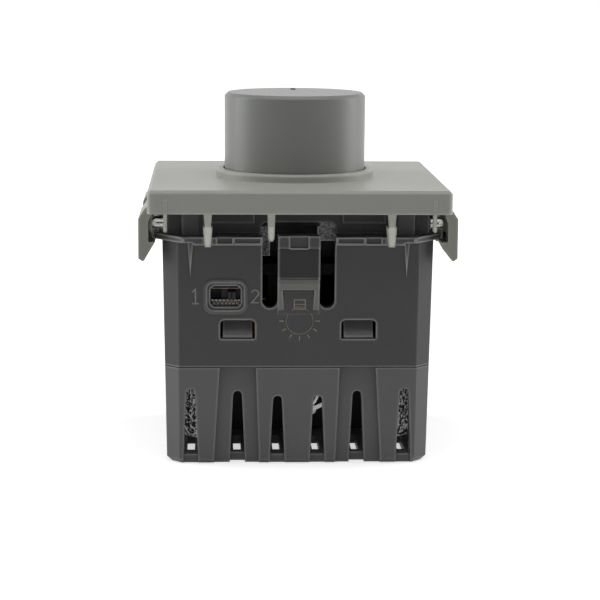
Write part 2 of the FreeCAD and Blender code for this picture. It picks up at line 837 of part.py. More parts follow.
def rear_cover():
    part = body("rear_cover")
    drawing = sketch(part, "cover_outline", "XY_Plane", seam)
    octagon(drawing, body_half_x, body_half_y, corner_cut, corner_cut)
    pad(part, drawing, seam, back=True)
    drafted(part, size("body_draft"), seam)
    chamfer(part, size("foot_cut"), lambda e: level_edge(e, 0))
    drawing = sketch(part, "cover_hollow", "XY_Plane", seam)
    octagon(drawing, body_half_x - body_wall, body_half_y - body_wall, corner_cut, corner_cut)
    pocket(part, drawing, seam - floor_thick)

    # Low lip that centres the two halves
    inner_x, inner_y = body_half_x - body_wall - 0.1, body_half_y - body_wall - 0.1
    drawing = sketch(part, "seam_lip", "XY_Plane", seam - 1.2)
    octagon(drawing, inner_x, inner_y, corner_cut, corner_cut)
    octagon(drawing, inner_x - 0.8, inner_y - 0.8, corner_cut, corner_cut)
    pad(part, drawing, 2.2)
    drawing = sketch(part, "lip_root", "XY_Plane", seam - 1.2)
    octagon(drawing, body_half_x - 0.5, body_half_y - 0.5, corner_cut, corner_cut)
    octagon(drawing, inner_x - 0.8, inner_y - 0.8, corner_cut, corner_cut)
    pad(part, drawing, 1.2)

    # Wall behind each bay, with the hooks standing on it
    hooks, outer_vents = [], []
    inner, outer = size("bay_inner"), size("bay_outer")
    flare_in, flare_out = size("bay_flare_in"), size("bay_flare_out")
    wall_face = body_half_y - body_wall
    drawing = sketch(part, "bay_backing", "XY_Plane", floor_thick - 0.1)
    for sx in (-1, 1):
        a, b = sx * (inner - flare_in - 1.1), sx * (outer + flare_out + 1.1)
        loop(drawing, [(a, -wall_face - 0.6), (b, -wall_face - 0.6), (b, -wall_face + 1.4),
                       (a, -wall_face + 1.4)])
    pad(part, drawing, seam - floor_thick + 0.1)
    hook_low, hook_high = size("window_low") + 0.15, size("window_low") + size("window_rise") - 0.2
    arm_face = wall_face - 0.12
    for sx in (-1, 1):
        middle = sx * (size("window_inner") + size("window_width") / 2)
        half = size("window_width") / 2 - 0.4
        mark = "right" if sx > 0 else "left"
        drawing = sketch(part, f"hook_{mark}", "YZ_Plane", middle - half)
        loop(drawing, [(-(arm_face - 1.15), seam - 1), (-(arm_face - 1.15), hook_high),
                       (-(arm_face - 0.25), hook_high), (-(wall_face + 1.3), hook_low + 0.15),
                       (-(wall_face + 1.3), hook_low), (-arm_face, hook_low), (-arm_face, seam - 1)])
        hooks.append(pad(part, drawing, half * 2))

    # Flared bays in the front face
    drawing = sketch(part, "bays", "XZ_Plane", body_half_y + 2)
    for sx in (-1, 1):
        loop(drawing, [(sx * (inner - flare_in), -1), (sx * (outer + flare_out), -1),
                       (sx * (outer + flare_out), 1), (sx * outer, seam), (sx * outer, seam + 1),
                       (sx * inner, seam + 1), (sx * inner, seam), (sx * (inner - flare_in), 1)])
    pocket(part, drawing, size("bay_depth") + 2)

    # Vents with round tops, run out through the bottom edge by a shallow notch
    low_half, top_half = size("vent_low_half"), size("vent_top_half")
    vents = [
        ("outer", size("vent_outer"), size("vent_outer_top"), 0),
        ("middle", size("vent_middle"), size("vent_middle_top"), size("bay_depth")),
        ("inner", size("vent_inner"), size("vent_inner_top"), 0),
    ]
    for name, offset, top, sunk in vents:
        arc_z = top - top_half
        slope = (low_half - top_half) / arc_z
        notch_top = floor_thick + 0.4
        drawing = sketch(part, f"vent_{name}", "XZ_Plane", body_half_y + 2)
        notch = sketch(part, f"notch_{name}", "XZ_Plane", body_half_y + 2)
        for middle in (-offset, offset):
            half = low_half - slope * floor_thick
            loop(drawing, [(middle - half, floor_thick), (middle + half, floor_thick),
                           (middle + top_half, arc_z, (middle, arc_z), 1),
                           (middle - top_half, arc_z)])
            wide, narrow = low_half + slope, low_half - slope * notch_top
            loop(notch, [(middle - wide, -1), (middle + wide, -1),
                         (middle + narrow, notch_top), (middle - narrow, notch_top)])
        deep = pocket(part, drawing, body_wall + 2.6 + sunk)
        pocket(part, notch, size("vent_sill") + 2.2 + sunk)
        if name == "outer":
            outer_vents.append(deep)

    # Floor slots behind the vents
    drawing = sketch(part, "floor_slots", "XY_Plane", floor_thick + 0.5)
    half = size("floor_slot_half")
    front, back = size("floor_slot_front"), size("floor_slot_back")
    for x in (size("vent_outer"), size("vent_middle"), size("vent_inner")):
        for sign in (-1, 1):
            middle = sign * x
            rectangle(drawing, middle - half, -front, middle + half, -back)
    pocket(part, drawing, floor_thick + 1)

    # Hooks and outer vents again at the back, where the screws are reached
    mirrored(part, [*hooks, *outer_vents], "XZ_Plane")
    drawing = sketch(part, "screw_access", "XZ_Plane", -(body_half_y + 1))
    half = size("driver_window") / 2
    for number in (-1, 0, 1):
        middle = number * size("terminal_pitch")
        rectangle(drawing, middle - half, screw_z - half, middle + half, screw_z + half)
    pocket(part, drawing, body_wall + 3, back=True)
    drawing = sketch(part, "wire_entries", "XY_Plane", floor_thick + 0.5)
    for number in (-1, 0, 1):
        circle(drawing, number * size("terminal_pitch"), wire_y, size("entry_radius"))
    pocket(part, drawing, floor_thick + 1)
    return part


# Inner frame that carries the rotary control and the claws' cradles

def inner_frame():
    part = body("inner_frame")
    half_x, half_y = size("frame_width") / 2, size("frame_depth") / 2
    wall = size("frame_wall")
    top = plate_under - 0.1
    deck_top = deck_level + size("deck_thick")
    drawing = sketch(part, "frame_outline", "XY_Plane", flange_top)
    rectangle(drawing, -half_x, -half_y, half_x, half_y)
    pad(part, drawing, top - flange_top)
    drawing = sketch(part, "frame_under", "XY_Plane", flange_top)
    rectangle(drawing, -half_x + wall, -half_y + wall, half_x - wall, half_y - wall)
    pocket(part, drawing, deck_level - flange_top, back=True)
    drawing = sketch(part, "frame_above", "XY_Plane", top)
    rectangle(drawing, -half_x + wall, -half_y + wall, half_x - wall, half_y - wall)
    pocket(part, drawing, top - deck_top)
    drawing = sketch(part, "bridge_clearance", "XZ_Plane", -half_y + wall)
    for sx in (-1, 1):
        loop(drawing, [(sx * (half_x - wall - 0.5), flange_top - 1), (sx * (half_x + 1), flange_top - 1),
                       (sx * (half_x + 1), steel_top), (sx * (half_x - wall - 0.5), steel_top)])
    pocket(part, drawing, 2 * (half_y - wall), back=True)

    copied = []
    turret_in, turret_out = Size.of(14.1), Size.of(17.5)
    drawing = sketch(part, "turrets", "XY_Plane", flange_top)
    for sx in (-1, 1):
        loop(drawing, [(sx * turret_in, -half_y - 1.1), (sx * turret_out, -half_y - 1.1),
                       (sx * turret_out, -half_y + 0.2), (sx * turret_in, -half_y + 0.2)])
    copied.append(pad(part, drawing, top - flange_top))
    drawing = sketch(part, "brows", "XY_Plane", size("arch_top") - 0.1)
    for sx in (-1, 1):
        loop(drawing, [(sx * 6.6, -half_y - 0.6), (sx * 13.2, -half_y - 0.6),
                       (sx * 13.2, -half_y + 0.2), (sx * 6.6, -half_y + 0.2)])
    copied.append(pad(part, drawing, top - size("arch_top") + 0.1))
    drawing = sketch(part, "arch", "XZ_Plane", half_y + 1)
    arch, corner = size("arch_half"), Size.of(0.9)
    high = size("arch_top")
    loop(drawing, [(-arch, flange_top - 1), (arch, flange_top - 1),
                   (arch, high - corner, (arch - corner, high - corner), 1),
                   (arch - corner, high), (-arch + corner, high, (-arch + corner, high - corner), 1),
                   (-arch, high - corner)])
    copied.append(pocket(part, drawing, 1.2 + wall))
    mirrored(part, copied, "XZ_Plane")

    # Cradles for the claws' pins, open upwards
    pivot_x, pivot_z = size("claw_pivot_x"), size("claw_pivot_z")
    pin_radius = size("claw_pin_radius")
    seat = pin_radius + running_gap
    grown_parts = []
    for sx in (-1, 1):
        mark = "right" if sx > 0 else "left"
        for sy in (-1, 1):
            end = "rear" if sy > 0 else "front"
            drawing = sketch(part, f"cradle_{mark}_{end}", "XZ_Plane", 4.2 if sy < 0 else -2.2)
            loop(drawing, [(sx * (half_x - 0.3), pivot_z - 1.7), (sx * (pivot_x + 0.9), pivot_z - 1.2),
                           (sx * (pivot_x + 1.3), pivot_z - 0.6), (sx * (pivot_x + 1.3), pivot_z + 0.75),
                           (sx * (half_x - 0.3), pivot_z + 0.75)])
            grown_parts.append(pad(part, drawing, 2.0, back=True))
    for sx in (-1, 1):
        mark = "right" if sx > 0 else "left"
        drawing = sketch(part, f"cradle_seat_{mark}", "XZ_Plane", 5)
        middle = sx * pivot_x
        rectangle(drawing, middle - seat, pivot_z - seat, middle + seat, pivot_z + 2)
        pocket(part, drawing, 10)
    drawing = sketch(part, "bush_hole", "XY_Plane", deck_top + 1)
    circle(drawing, 0, 0, size("bush_radius") + 0.1)
    pocket(part, drawing, size("deck_thick") + 2)
    return part


# Spring claws at the two sides

def claw(label, side):
    """Two fingers on one pin; side is -1 for the left one and 1 for the right one."""
    part = body(label)
    reach, thick = size("claw_reach"), size("claw_thick")
    pivot_x, pivot_z = size("claw_pivot_x"), size("claw_pivot_z")
    tip = size("claw_tip")
    pin_radius = size("claw_pin_radius")
    near_end, length = size("claw_near"), size("claw_length")
    inner = reach - thick
    crown = skirt_end - 0.15
    bend = Size.of(1.4)
    shelf = flange_under - 0.25
    root = pivot_z + 0.15
    outline = [
        (pivot_x - 0.7, root),
        (pivot_x - 0.7, crown),
        (plate_half + 0.12, crown),
        (plate_half + 0.12, pivot_z + 1.25),
        (reach - bend + 0.35, pivot_z + 1.1),
        (reach, pivot_z - 0.5),
        (reach, tip + 0.5),
        (reach - 0.75, tip),
        (flange_half_x - 0.1, shelf),
        (inner, shelf),
        (inner, pivot_z - 1.1),
        (inner - 0.45, root),
    ]
    fingers = []
    for end, level in (("front", near_end + length), ("rear", -near_end)):
        drawing = sketch(part, f"{label}_{end}", "XZ_Plane", level)
        loop(drawing, [(side * x, z) for x, z in outline])
        fingers.append(pad(part, drawing, length, back=True))
        if end == "front":
            drawing = sketch(part, f"{label}_pin", "XZ_Plane", near_end + 1)
            circle(drawing, side * pivot_x, pivot_z, pin_radius)
            pad(part, drawing, 2 * near_end + 2, back=True)

    def outer_bend(edge):
        box = edge.BoundBox
        along = box.YLength > length.value - 0.1
        at_top = near(abs(box.XMin), reach, 0.02) and near(box.ZMin, pivot_z - 0.5, 0.05)
        at_foot = box.ZMin < tip.value + 0.6
        return along and (at_top or at_foot)

    fillet(part, 0.3, outer_bend)
    return part


# Steel bridge with its four bent ears, and its screws

screw_x = body_half_x - body_wall - 2.6
screw_y = body_half_y - body_wall - 4.1
slot_floor = size("slot_bottom")


def mounting_bridge():
    part = body("mounting_bridge")
    thick = size("steel_thick")
    half_x = size("frame_width") / 2 + 0.4
    half_y = size("frame_depth") / 2 - size("frame_wall") - 0.2
    drawing = sketch(part, "bridge_outline", "XY_Plane", flange_top)
    octagon(drawing, half_x, half_y, Size.of(1.5), Size.of(1.5))
    pad(part, drawing, thick)
    drawing = sketch(part, "bridge_opening", "XY_Plane", flange_top - 1)
    arm = size("sink_width") / 2 + 0.5
    back = screw_y - 2.1
    loop(drawing, [(-arm, -half_y - 1), (arm, -half_y - 1), (arm, back), (-arm, back)])
    pocket(part, drawing, thick + 2, back=True)
    ear_end = size("claw_reach") - size("claw_thick") - 0.5
    for end, level in (("front", 10.6), ("rear", -5.4)):
        drawing = sketch(part, f"ears_{end}", "XZ_Plane", level)
        for sx in (-1, 1):
            loop(drawing, [(sx * (half_x - 0.5), steel_top), (sx * (ear_end - 0.7), steel_top),
                           (sx * ear_end, steel_top - 0.7), (sx * ear_end, flange_under + 0.05),
                           (sx * (ear_end - thick), flange_under + 0.05),
                           (sx * (ear_end - thick), flange_top - 0.25),
                           (sx * (ear_end - thick - 0.25), flange_top), (sx * (half_x - 0.5), flange_top)])
        pad(part, drawing, 5.2, back=True)
    drawing = sketch(part, "bridge_notches", "XY_Plane", steel_top + 1)
    for sx in (-1, 1):
        middle = sx * screw_x
        rectangle(drawing, middle - 1.3, screw_y - 1.3, middle + 1.3, half_y + 1)
    pocket(part, drawing, thick + 2)
    return part


def bridge_screws():
    made = []
    for mark, sx in (("left", -1), ("right", 1)):
        x = sx * screw_x
        head = hexagon(f"bridge_head_{mark}", 2.1, (x, screw_y, steel_top), 1.2)
        shank = rod(f"bridge_shank_{mark}", 1.0, (x, screw_y, steel_top - 6), 6.5)
        made.append(fused(f"bridge_screw_{mark}", [head, shank]))
    return labelled(fused("bridge_screws", made), "bridge_screws")


# Cast heat sink: a plate across the top, two legs and a stepped lip at the front

def heat_sink():
    part = body("heat_sink")
    half_x, leg = size("sink_width") / 2, size("sink_leg")
    half_y = size("frame_depth") / 2 - size("frame_wall") - 0.4
    foot = size("sink_foot")
    plate_low = deck_level - size("sink_plate")
    front = body_half_y - body_wall - 1.0
    back = screw_y - 3.1
    drawing = sketch(part, "sink_plate", "XY_Plane", plate_low)
    inner = screw_x - 2.6
    loop(drawing, [(-half_x, -half_y), (half_x, -half_y), (half_x, back), (inner, back),
                   (inner, half_y), (-inner, half_y), (-inner, back), (-half_x, back)])
    can = size("can_width") / 2 + 0.4
    rectangle(drawing, -can, -can, can, can)
    pad(part, drawing, size("sink_plate"))
    for mark, level in (("left", -half_x), ("right", half_x - leg)):
        drawing = sketch(part, f"sink_leg_{mark}", "YZ_Plane", level)
        loop(drawing, [(-front + 0.4, foot), (back - 2, foot), (back, foot + 3), (back, deck_level),
                       (-half_y, deck_level), (-half_y, flange_top - 0.6), (-front, flange_top - 0.6),
                       (-front, foot + 0.4)])
        pad(part, drawing, leg)
    drawing = sketch(part, "sink_corners", "XY_Plane", foot - 1)
    past = Size.of(0.5)
    nick = corner_cut + 0.2 + past
    for sx in (-1, 1):
        loop(drawing, [(sx * (half_x + past), -(front + past)), (sx * (half_x + past), -(front - nick)),
                       (sx * (half_x - nick), -(front + past))])
    pocket(part, drawing, deck_level - foot + 2, back=True)
    drawing = sketch(part, "sink_lip", "XZ_Plane", half_y)
    high = deck_level - 0.2
    loop(drawing, [(-5.9, 31.5), (-4.2, 31.5), (-4.2, high), (-5.9, high)])
    loop(drawing, [(3.0, 33.8), (5.9, 33.8), (5.9, high), (3.0, high)])
    pad(part, drawing, 1.5, back=True)
    drawing = sketch(part, "sink_threads", "YZ_Plane", half_x + 1)
    circle(drawing, 0, transistor_hole_z, 1.5)
    pocket(part, drawing, 2 * half_x + 2)
    return part


# Rotary control and push switch

def potentiometer_body():
    part = body("potentiometer_body")
    base, top = size("can_base"), size("can_top")
    half = size("can_width") / 2
    drawing = sketch(part, "can_outline", "XY_Plane", base)
    octagon(drawing, half, half, Size.of(1.2), Size.of(1.2))
    pad(part, drawing, top - base)
    drawing = sketch(part, "can_hollow", "XY_Plane", base + 0.5)
    rectangle(drawing, -rotor_radius - 0.3, -rotor_radius - 0.3, rotor_radius + 0.3, rotor_radius + 0.3)
    pocket(part, drawing, top - base - 1.1, back=True)
    drawing = sketch(part, "bush_ring", "XY_Plane", top - 0.1)
    circle(drawing, 0, 0, size("bush_radius"))
    pad(part, drawing, size("bush_top") - top + 0.1)
    drawing = sketch(part, "bush_bore", "XY_Plane", size("bush_top") + 1)
    circle(drawing, 0, 0, size("neck_radius") + running_gap)
    pocket(part, drawing, size("bush_top") - top + 2)
    drawing = sketch(part, "can_floor_hole", "XY_Plane", base + 1)
    hole = size("plunger_side") / 2 + 0.5
    rectangle(drawing, -hole, -hole, hole, hole)
    pocket(part, drawing, 2)
    return part


rotor_radius = Size.of(6.5)


def potentiometer_rotor():
    base, top = size("can_base") + 0.5 + running_gap, size("can_top") - 0.6 - running_gap
    disc = hexagon("rotor_disc", rotor_radius, (0, 0, base), top - base, sides=8)
    neck = rod("rotor_neck", size("neck_radius"), (0, 0, base), size("bush_top") - base)
    socket = flatted("rotor_socket", shaft_radius + running_gap, size("shaft_flat") + running_gap,
                     base - 1, size("bush_top") + 1)
    made = cut("potentiometer_rotor", fused("rotor_blank", [disc, neck]), [socket])
    return labelled(made, "potentiometer_rotor")


def push_switch_body():
    half = size("switch_side") / 2
    low, high = size("switch_low"), size("can_base") - size("board_thick")
    case = block("switch_case", -half, half, -half, half, low, high)
    bore_half = size("plunger_side") / 2 + running_gap
    bore = block("switch_bore", -bore_half, bore_half, -bore_half, bore_half, low + 0.6, high + 1)
    rim = [block(f"switch_step_{n}", sx * half - 0.6, sx * half + 0.6, -half - 1, half + 1,
                 high - 1.5, high + 1) for n, sx in enumerate((-1, 1))]
    made = cut("push_switch_body", case, [bore, *rim])
    return labelled(made, "push_switch_body")


def switch_plunger():
    low, high = size("plunger_low"), size("shaft_low") - 0.05
    shoulder = size("can_base") - running_gap
    edge = size("plunger_side") / 2
    stem = block("plunger_stem", -edge, edge, -edge, edge, low, shoulder)
    tip = hexagon("plunger_tip", edge, (0, 0, shoulder - 0.5), high - shoulder + 0.5, sides=8)
    groove = block("plunger_slot", -0.5, 0.5, -3, 3, low - 1, low + 0.8)
    made = cut("switch_plunger", fused("plunger_blank", [stem, tip]), [groove])
    return labelled(made, "switch_plunger")


def switch_spring():
    part = body("switch_spring")
    low = size("switch_low") + 0.6
    wire = size("spring_wire")
    drawing = sketch(part, "spring_wire", "XZ_Plane", 0)
    rectangle(drawing, size("spring_radius") - wire, low, size("spring_radius") + wire, low + 2 * wire)
    coil = part.newObject("PartDesign::AdditiveHelix", "spring_coil")
    coil.Profile = drawing
    coil.ReferenceAxis = (drawing, ["V_Axis"])
    coil.Mode = 1
    height = size("plunger_low") - low - 2 * wire
    bind(coil, "Pitch", height / size("spring_turns"))
    bind(coil, "Turns", size("spring_turns"))
    part.Tip = coil
    return part


# Slide selector behind its window

selector_right = size("selector_x") + 2.55
slider_width = Size.of(3.2)


def selector_body():
    x, z = size("selector_x"), size("selector_z")
    face = front_face(z) - body_wall - 0.2
    board_low = size("can_base") - size("board_thick")
    case = block("selector_case", x - 3.05, x + 3.15, -face, -face + 4.1, z - 2.4, board_low)
    channel_left = selector_right - slider_width - size("selector_travel") - 0.15
    channel = block("selector_channel", channel_left, selector_right + running_gap,
                    -face - 1, -face + 2.9, z - 1.05, z + 1.05)
    return labelled(cut("selector_body", case, [channel]), "selector_body")


def selector_slider():
    z = size("selector_z")
    face = front_face(z) - body_wall - 0.2
    right = selector_right
    base = block("slider_base", right - slider_width, right, -face + 0.9, -face + 2.8, z - 1, z + 1)
    nub = block("slider_nub", right - 2.2, right - 1.0, -face - 1.1, -face + 1.2, z - 0.6, z + 0.6)
    grip = block("slider_grip", right - 1.7, right - 1.5, -face - 2, -face - 0.9, z - 1, z + 1)
    made = cut("selector_slider", fused("slider_blank", [base, nub]), [grip])
    return labelled(made, "selector_slider")


# Circuit boards and what stands on them

def power_board():
    half_x, half_y = size("power_board_width") / 2, size("power_board_depth") / 2
    low = size("power_board_level")
    board = block("power_panel", -half_x, half_x, -half_y, half_y, low, low + size("board_thick"))
    return labelled(board, "power_board")


def control_board():
    part = body("control_board")
    half_x = size("control_board_width") / 2
    thick = size("board_thick")
    front = body_half_y - body_wall - 0.5
    drawing = sketch(part, "control_outline", "XY_Plane", size("can_base") - thick)
    notch_x, notch_y = Size.of(9.8), Size.of(5.6)
    back = screw_y - 3.1
    right = [(half_x, -front), (half_x, -notch_y), (notch_x, -notch_y), (notch_x, notch_y),
             (half_x, notch_y), (half_x, back), (8, back), (8, header_y + 1.6)]
    left = [(-x, y) for x, y in reversed(right)]
    loop(drawing, right + left)
    hole = size("plunger_side") / 2 + 0.5
    rectangle(drawing, -hole, -hole, hole, hole)
    pad(part, drawing, thick)
    return part


header_y = size("power_board_depth") / 2 - 1.6


def board_header():
    top = size("can_base") - size("board_thick")
    low = size("power_board_level") + size("board_thick")
    made = [block("header_strip", -7.4, 7.4, header_y - 1.2, header_y + 1.2, low, low + 2.5)]
    for n in range(6):
        x = -6.25 + 2.5 * n
        made.append(block(f"header_pin_{n}", x - 0.3, x + 0.3, header_y - 0.3, header_y + 0.3,
                          low + 1, top))
    return labelled(fused("board_header", made), "board_header")


transistor_hole_z = Size.of(28.7)


def power_transistors():
    face = size("sink_width") / 2 - size("sink_leg")
    low = size("power_board_level") + size("board_thick")
    made = []
    for mark, sx in (("left", -1), ("right", 1)):
        case_low, case_high = low + 2.4, transistor_hole_z - 3.5

        def slab(name, near_x, far_x, half_y, z0, z1):
            x0, x1 = (near_x, far_x) if sx > 0 else (-far_x, -near_x)
            return block(f"{name}_{mark}", x0, x1, -half_y, half_y, z0, z1)

        case = slab("transistor_case", face - 4.4, face, 5.0, case_low, case_high)
        tab = slab("transistor_tab", face - 1.3, face, 5.0, case_high - 0.5, transistor_hole_z + 2.9)
        hole = slab("transistor_slot", face - 2, face + 1, 1.8, transistor_hole_z - 1.8,
                    transistor_hole_z + 4)
        legs = []
        for n in (-1, 0, 1):
            x0, x1 = (face - 2.7, face - 2.2) if sx > 0 else (2.2 - face, 2.7 - face)
            legs.append(block(f"transistor_leg_{mark}_{n + 1}", x0, x1, n * 2.54 - 0.4, n * 2.54 + 0.4,
                              low, case_low + 0.5))
        blank = fused(f"transistor_blank_{mark}", [case, tab, *legs])
        made.append(cut(f"transistor_{mark}", blank, [hole]))
    return labelled(fused("power_transistors", made), "power_transistors")


def transistor_screws():
    face = size("sink_width") / 2 - size("sink_leg")
    made = []
    for mark, sx in (("left", -1), ("right", 1)):
        head_x = face - 3.0 if sx > 0 else 1.3 - face
        shank_x = face - 2.0 if sx > 0 else -(face + 2.2)
        head = hexagon(f"clamp_head_{mark}", 2.8, (head_x, 0, transistor_hole_z), 1.7, "X")
        shank = rod(f"clamp_shank_{mark}", 1.45, (shank_x, 0, transistor_hole_z), 4.2, "X")
        made.append(fused(f"clamp_screw_{mark}", [head, shank]))
    return labelled(fused("transistor_screws", made), "transistor_screws")


choke_y = Size.of(3.6)
choke_end = Size.of(6.9)


def choke_core():
    low = size("power_board_level") + size("board_thick")
    start, middle, half = -choke_end - 2.6, low + 4.3, size("core_side") / 2
    bar = block("core_bar", start, start + choke_end * 2, choke_y - half, choke_y + half,
                middle - half, middle + half)
    return labelled(bar, "choke_core")


def choke_winding():
    low = size("power_board_level") + size("board_thick")
    start = -choke_end - 1.4
    middle, half = low + 4.3, size("core_side") / 2
    coil = rod("winding_coil", 4.2, (start, choke_y, middle), choke_end * 2 - 2.4, "X")
    bore = block("winding_bore", start - 1, start + choke_end * 2, choke_y - half, choke_y + half,
                 middle - half, middle + half)
    return labelled(cut("choke_winding", coil, [bore]), "choke_winding")


def film_capacitor():
    low = size("power_board_level") + size("board_thick")
    case = block("film_case", -6.6, 6.6, -13.0, -8.2, low + 0.4, low + 9.0)
    leads = [block(f"film_lead_{n}", x - 0.3, x + 0.3, -10.9, -10.3, low, low + 1)
             for n, x in enumerate((-5, 5))]
    return labelled(fused("film_capacitor", [case, *leads]), "film_capacitor")


def electrolytic_capacitor():
    low = size("power_board_level") + size("board_thick")
    part = body("electrolytic_capacitor")
    drawing = sketch(part, "can_profile", "XZ_Plane", 0)
    loop(drawing, [(0, low), (2.9, low), (2.9, low + 8.3), (0, low + 8.3)])
    turned(part, drawing)
    part.Placement = FreeCAD.Placement(Vector(7.0, 6.9, 0), FreeCAD.Rotation())
    return part


def fuse():
    low = size("power_board_level") + size("board_thick")
    tube = rod("fuse_tube", 1.7, (-3.9, -5.9, low + 2.1), 6.5, "X")
    clips = [block(f"fuse_clip_{n}", x, x + 1.6, -7.8, -4.0, low, low + 4.0)
             for n, x in enumerate((-5.2, 2.3))]
    return labelled(fused("fuse", [tube, *clips]), "fuse")


# White leads between the power board and the terminal block

block_front = wire_y - 4.3


def lead(points, radius):
    """A tube along straight runs with mitred corners."""
    path = Part.makePolygon(points)
    ring = Part.Wire(Part.Circle(points[0], points[1] - points[0], radius).toShape())
    tube = path.makePipeShell([ring], True, False, 1)
    expected = math.pi * radius**2 * path.Length
    if abs(tube.Volume - expected) > 0.03 * expected:
        raise RuntimeError("a lead's tube doesn't have its section all along")
    return tube


def jumper_leads():
    high = size("power_board_level").value
    block_face = block_front.value - 0.12
    board_front = -size("power_board_depth").value / 2
    thin = [Vector(4.9, board_front + 1.8, high), Vector(4.9, board_front + 1.8, 10.6), Vector(2.2, -12.9, 7.0),
            Vector(1.4, block_face, 6.2)]
    thick = [Vector(7.9, board_front + 2, high), Vector(7.9, board_front + 2, 10.2), Vector(2.2, -12.4, 5.6),
             Vector(3.4, block_face, 4.8)]
    made = doc.addObject("Part::Feature", "jumper_leads")
    made.Shape = Part.makeCompound([lead(thin, 0.28), lead(thick, 0.4)])
    return labelled(made, "jumper_leads")


# Screw terminals: a block with three pockets, and a bar, a screw and a rising cage in each

bar_front = wire_y + 1.4
cage_front = wire_y - 2.3
cage_back = bar_front + 4.9
cage_wall = Size.of(0.9)
cage_length = cage_back - cage_front
pocket_front = cage_front - 0.3
pocket_back = cage_back + size("clamp_travel") + 0.4
block_back = pocket_back + 0.65
head_front = block_back


def terminal_x(number):
    return number * size("terminal_pitch")


def terminal_block():
    part = body("terminal_block")
    top = size("power_board_level")
    half = size("terminal_pitch") + 4.7
    drawing = sketch(part, "terminal_outline", "XY_Plane", floor_thick)
    rectangle(drawing, -half, block_front, half, block_back)
    pad(part, drawing, top - floor_thick)
    drawing = sketch(part, "terminal_pockets", "XY_Plane", top)
    for number in (-1, 0, 1):
        x = terminal_x(number)
        rectangle(drawing, x - 3.3, pocket_front, x + 3.3, pocket_back)
    pocket(part, drawing, top - floor_thick - 1.2)
    drawing = sketch(part, "terminal_entries", "XY_Plane", floor_thick + 2)
    half = size("entry_radius") + 0.4
    for number in (-1, 0, 1):
        x = terminal_x(number)
        rectangle(drawing, x - half, wire_y - half, x + half, wire_y + half)
    pocket(part, drawing, 3)
    drawing = sketch(part, "terminal_shank_slots", "XZ_Plane", -block_back - 1)
    half = size("screw_radius") + 0.2
    for number in (-1, 0, 1):
        x = terminal_x(number)
        rectangle(drawing, x - half, screw_z - half, x + half, top + 1)
    pocket(part, drawing, 3, back=True)
    return part


def terminal_bars():
    low, high = floor_thick + 1.2, size("power_board_level")
    made = []
    for number in (-1, 0, 1):
        x = terminal_x(number)
        made.append(block(f"bar_{number + 2}", x - 2.0, x + 2.0, bar_front, bar_front + 0.8, low, high))
    return labelled(fused("terminal_bars", made), "terminal_bars")


def terminal_screw(number):
    x = terminal_x(number)
    name = f"terminal_screw_{number + 2}"
    tip = bar_front + 0.85
    shank = rod(name + "_shank", size("screw_radius"), (x, tip, screw_z), head_front - tip + 0.3, "Y")
    head = rod(name + "_head", size("screw_head"), (x, head_front, screw_z), 1.4, "Y")
    slot = block(name + "_slot", x - 3, x + 3, head_front + 0.8, head_front + 3, screw_z - 0.4, screw_z + 0.4)
    return labelled(cut(name, fused(name + "_blank", [shank, head]), [slot]), name)


def clamp_cage(number):
    x = terminal_x(number)
    label = f"clamp_cage_{number + 2}"
    part = body(label)
    low, high = floor_thick + 1.3, screw_z + 2.9
    drawing = sketch(part, label + "_ring", "XY_Plane", low)
    rectangle(drawing, x - 3.0, cage_front, x + 3.0, cage_front + cage_length)
    rectangle(drawing, x - 2.15, cage_front + cage_wall, x + 2.15, cage_front + cage_length - cage_wall)
    pad(part, drawing, high - low)
    drawing = sketch(part, label + "_thread", "XZ_Plane", -(cage_front + cage_length + 1))
    circle(drawing, x, screw_z, size("screw_radius") + running_gap)
    pocket(part, drawing, cage_wall + 1.5, back=True)
    return part


NODES = [
    cover_plate(),
    knob(),
    knob_shaft(),
    shaft_clip(),
    upper_housing(),
    rear_cover(),
    inner_frame(),
    claw("claw_left", -1),
    claw("claw_right", 1),
    mounting_bridge(),
    bridge_screws(),
    heat_sink(),
    potentiometer_body(),
    potentiometer_rotor(),
    push_switch_body(),
    switch_plunger(),
    switch_spring(),
    selector_body(),
    selector_slider(),
    power_board(),
    control_board(),
    board_header(),
    power_transistors(),
    transistor_screws(),
    choke_core(),
    choke_winding(),
    film_capacitor(),
    electrolytic_capacitor(),
    fuse(),
    jumper_leads(),
    terminal_block(),
    terminal_bars(),
    *[terminal_screw(number) for number in (-1, 0, 1)],
    *[clamp_cage(number) for number in (-1, 0, 1)],
]

for node in NODES:
    if node.TypeId == "PartDesign::Body" and "Refine" in node.Tip.PropertiesList:
        node.Tip.Refine = True
doc.recompute()

for thing in doc.Objects:
    if "Invalid" in thing.State or "Error" in thing.State:
        raise RuntimeError(f"{thing.Label} failed: {thing.State}")
for feature in features:
    base = feature.BaseFeature
    if base is None or feature.TypeId == "PartDesign::Revolution":
        continue
    change = feature.Shape.Volume - base.Shape.Volume
    if change * (-1 if feature.TypeId == "PartDesign::Pocket" else 1) < 1e-4:
        raise RuntimeError(f"{feature.Name} changed nothing: {change}")

os.makedirs("parts", exist_ok=True)
for node in NODES:
    if node.Shape.isNull() or not node.Shape.isValid():
        raise RuntimeError(f"{node.Label} has no valid shape")
    node.Shape.exportStep(f"parts/{node.Label}.step")
    print(node.Label, len(node.Shape.Solids), round(node.Shape.Volume, 2))
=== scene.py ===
import json
import math

import bmesh
import bpy
from mathutils import Matrix, Vector


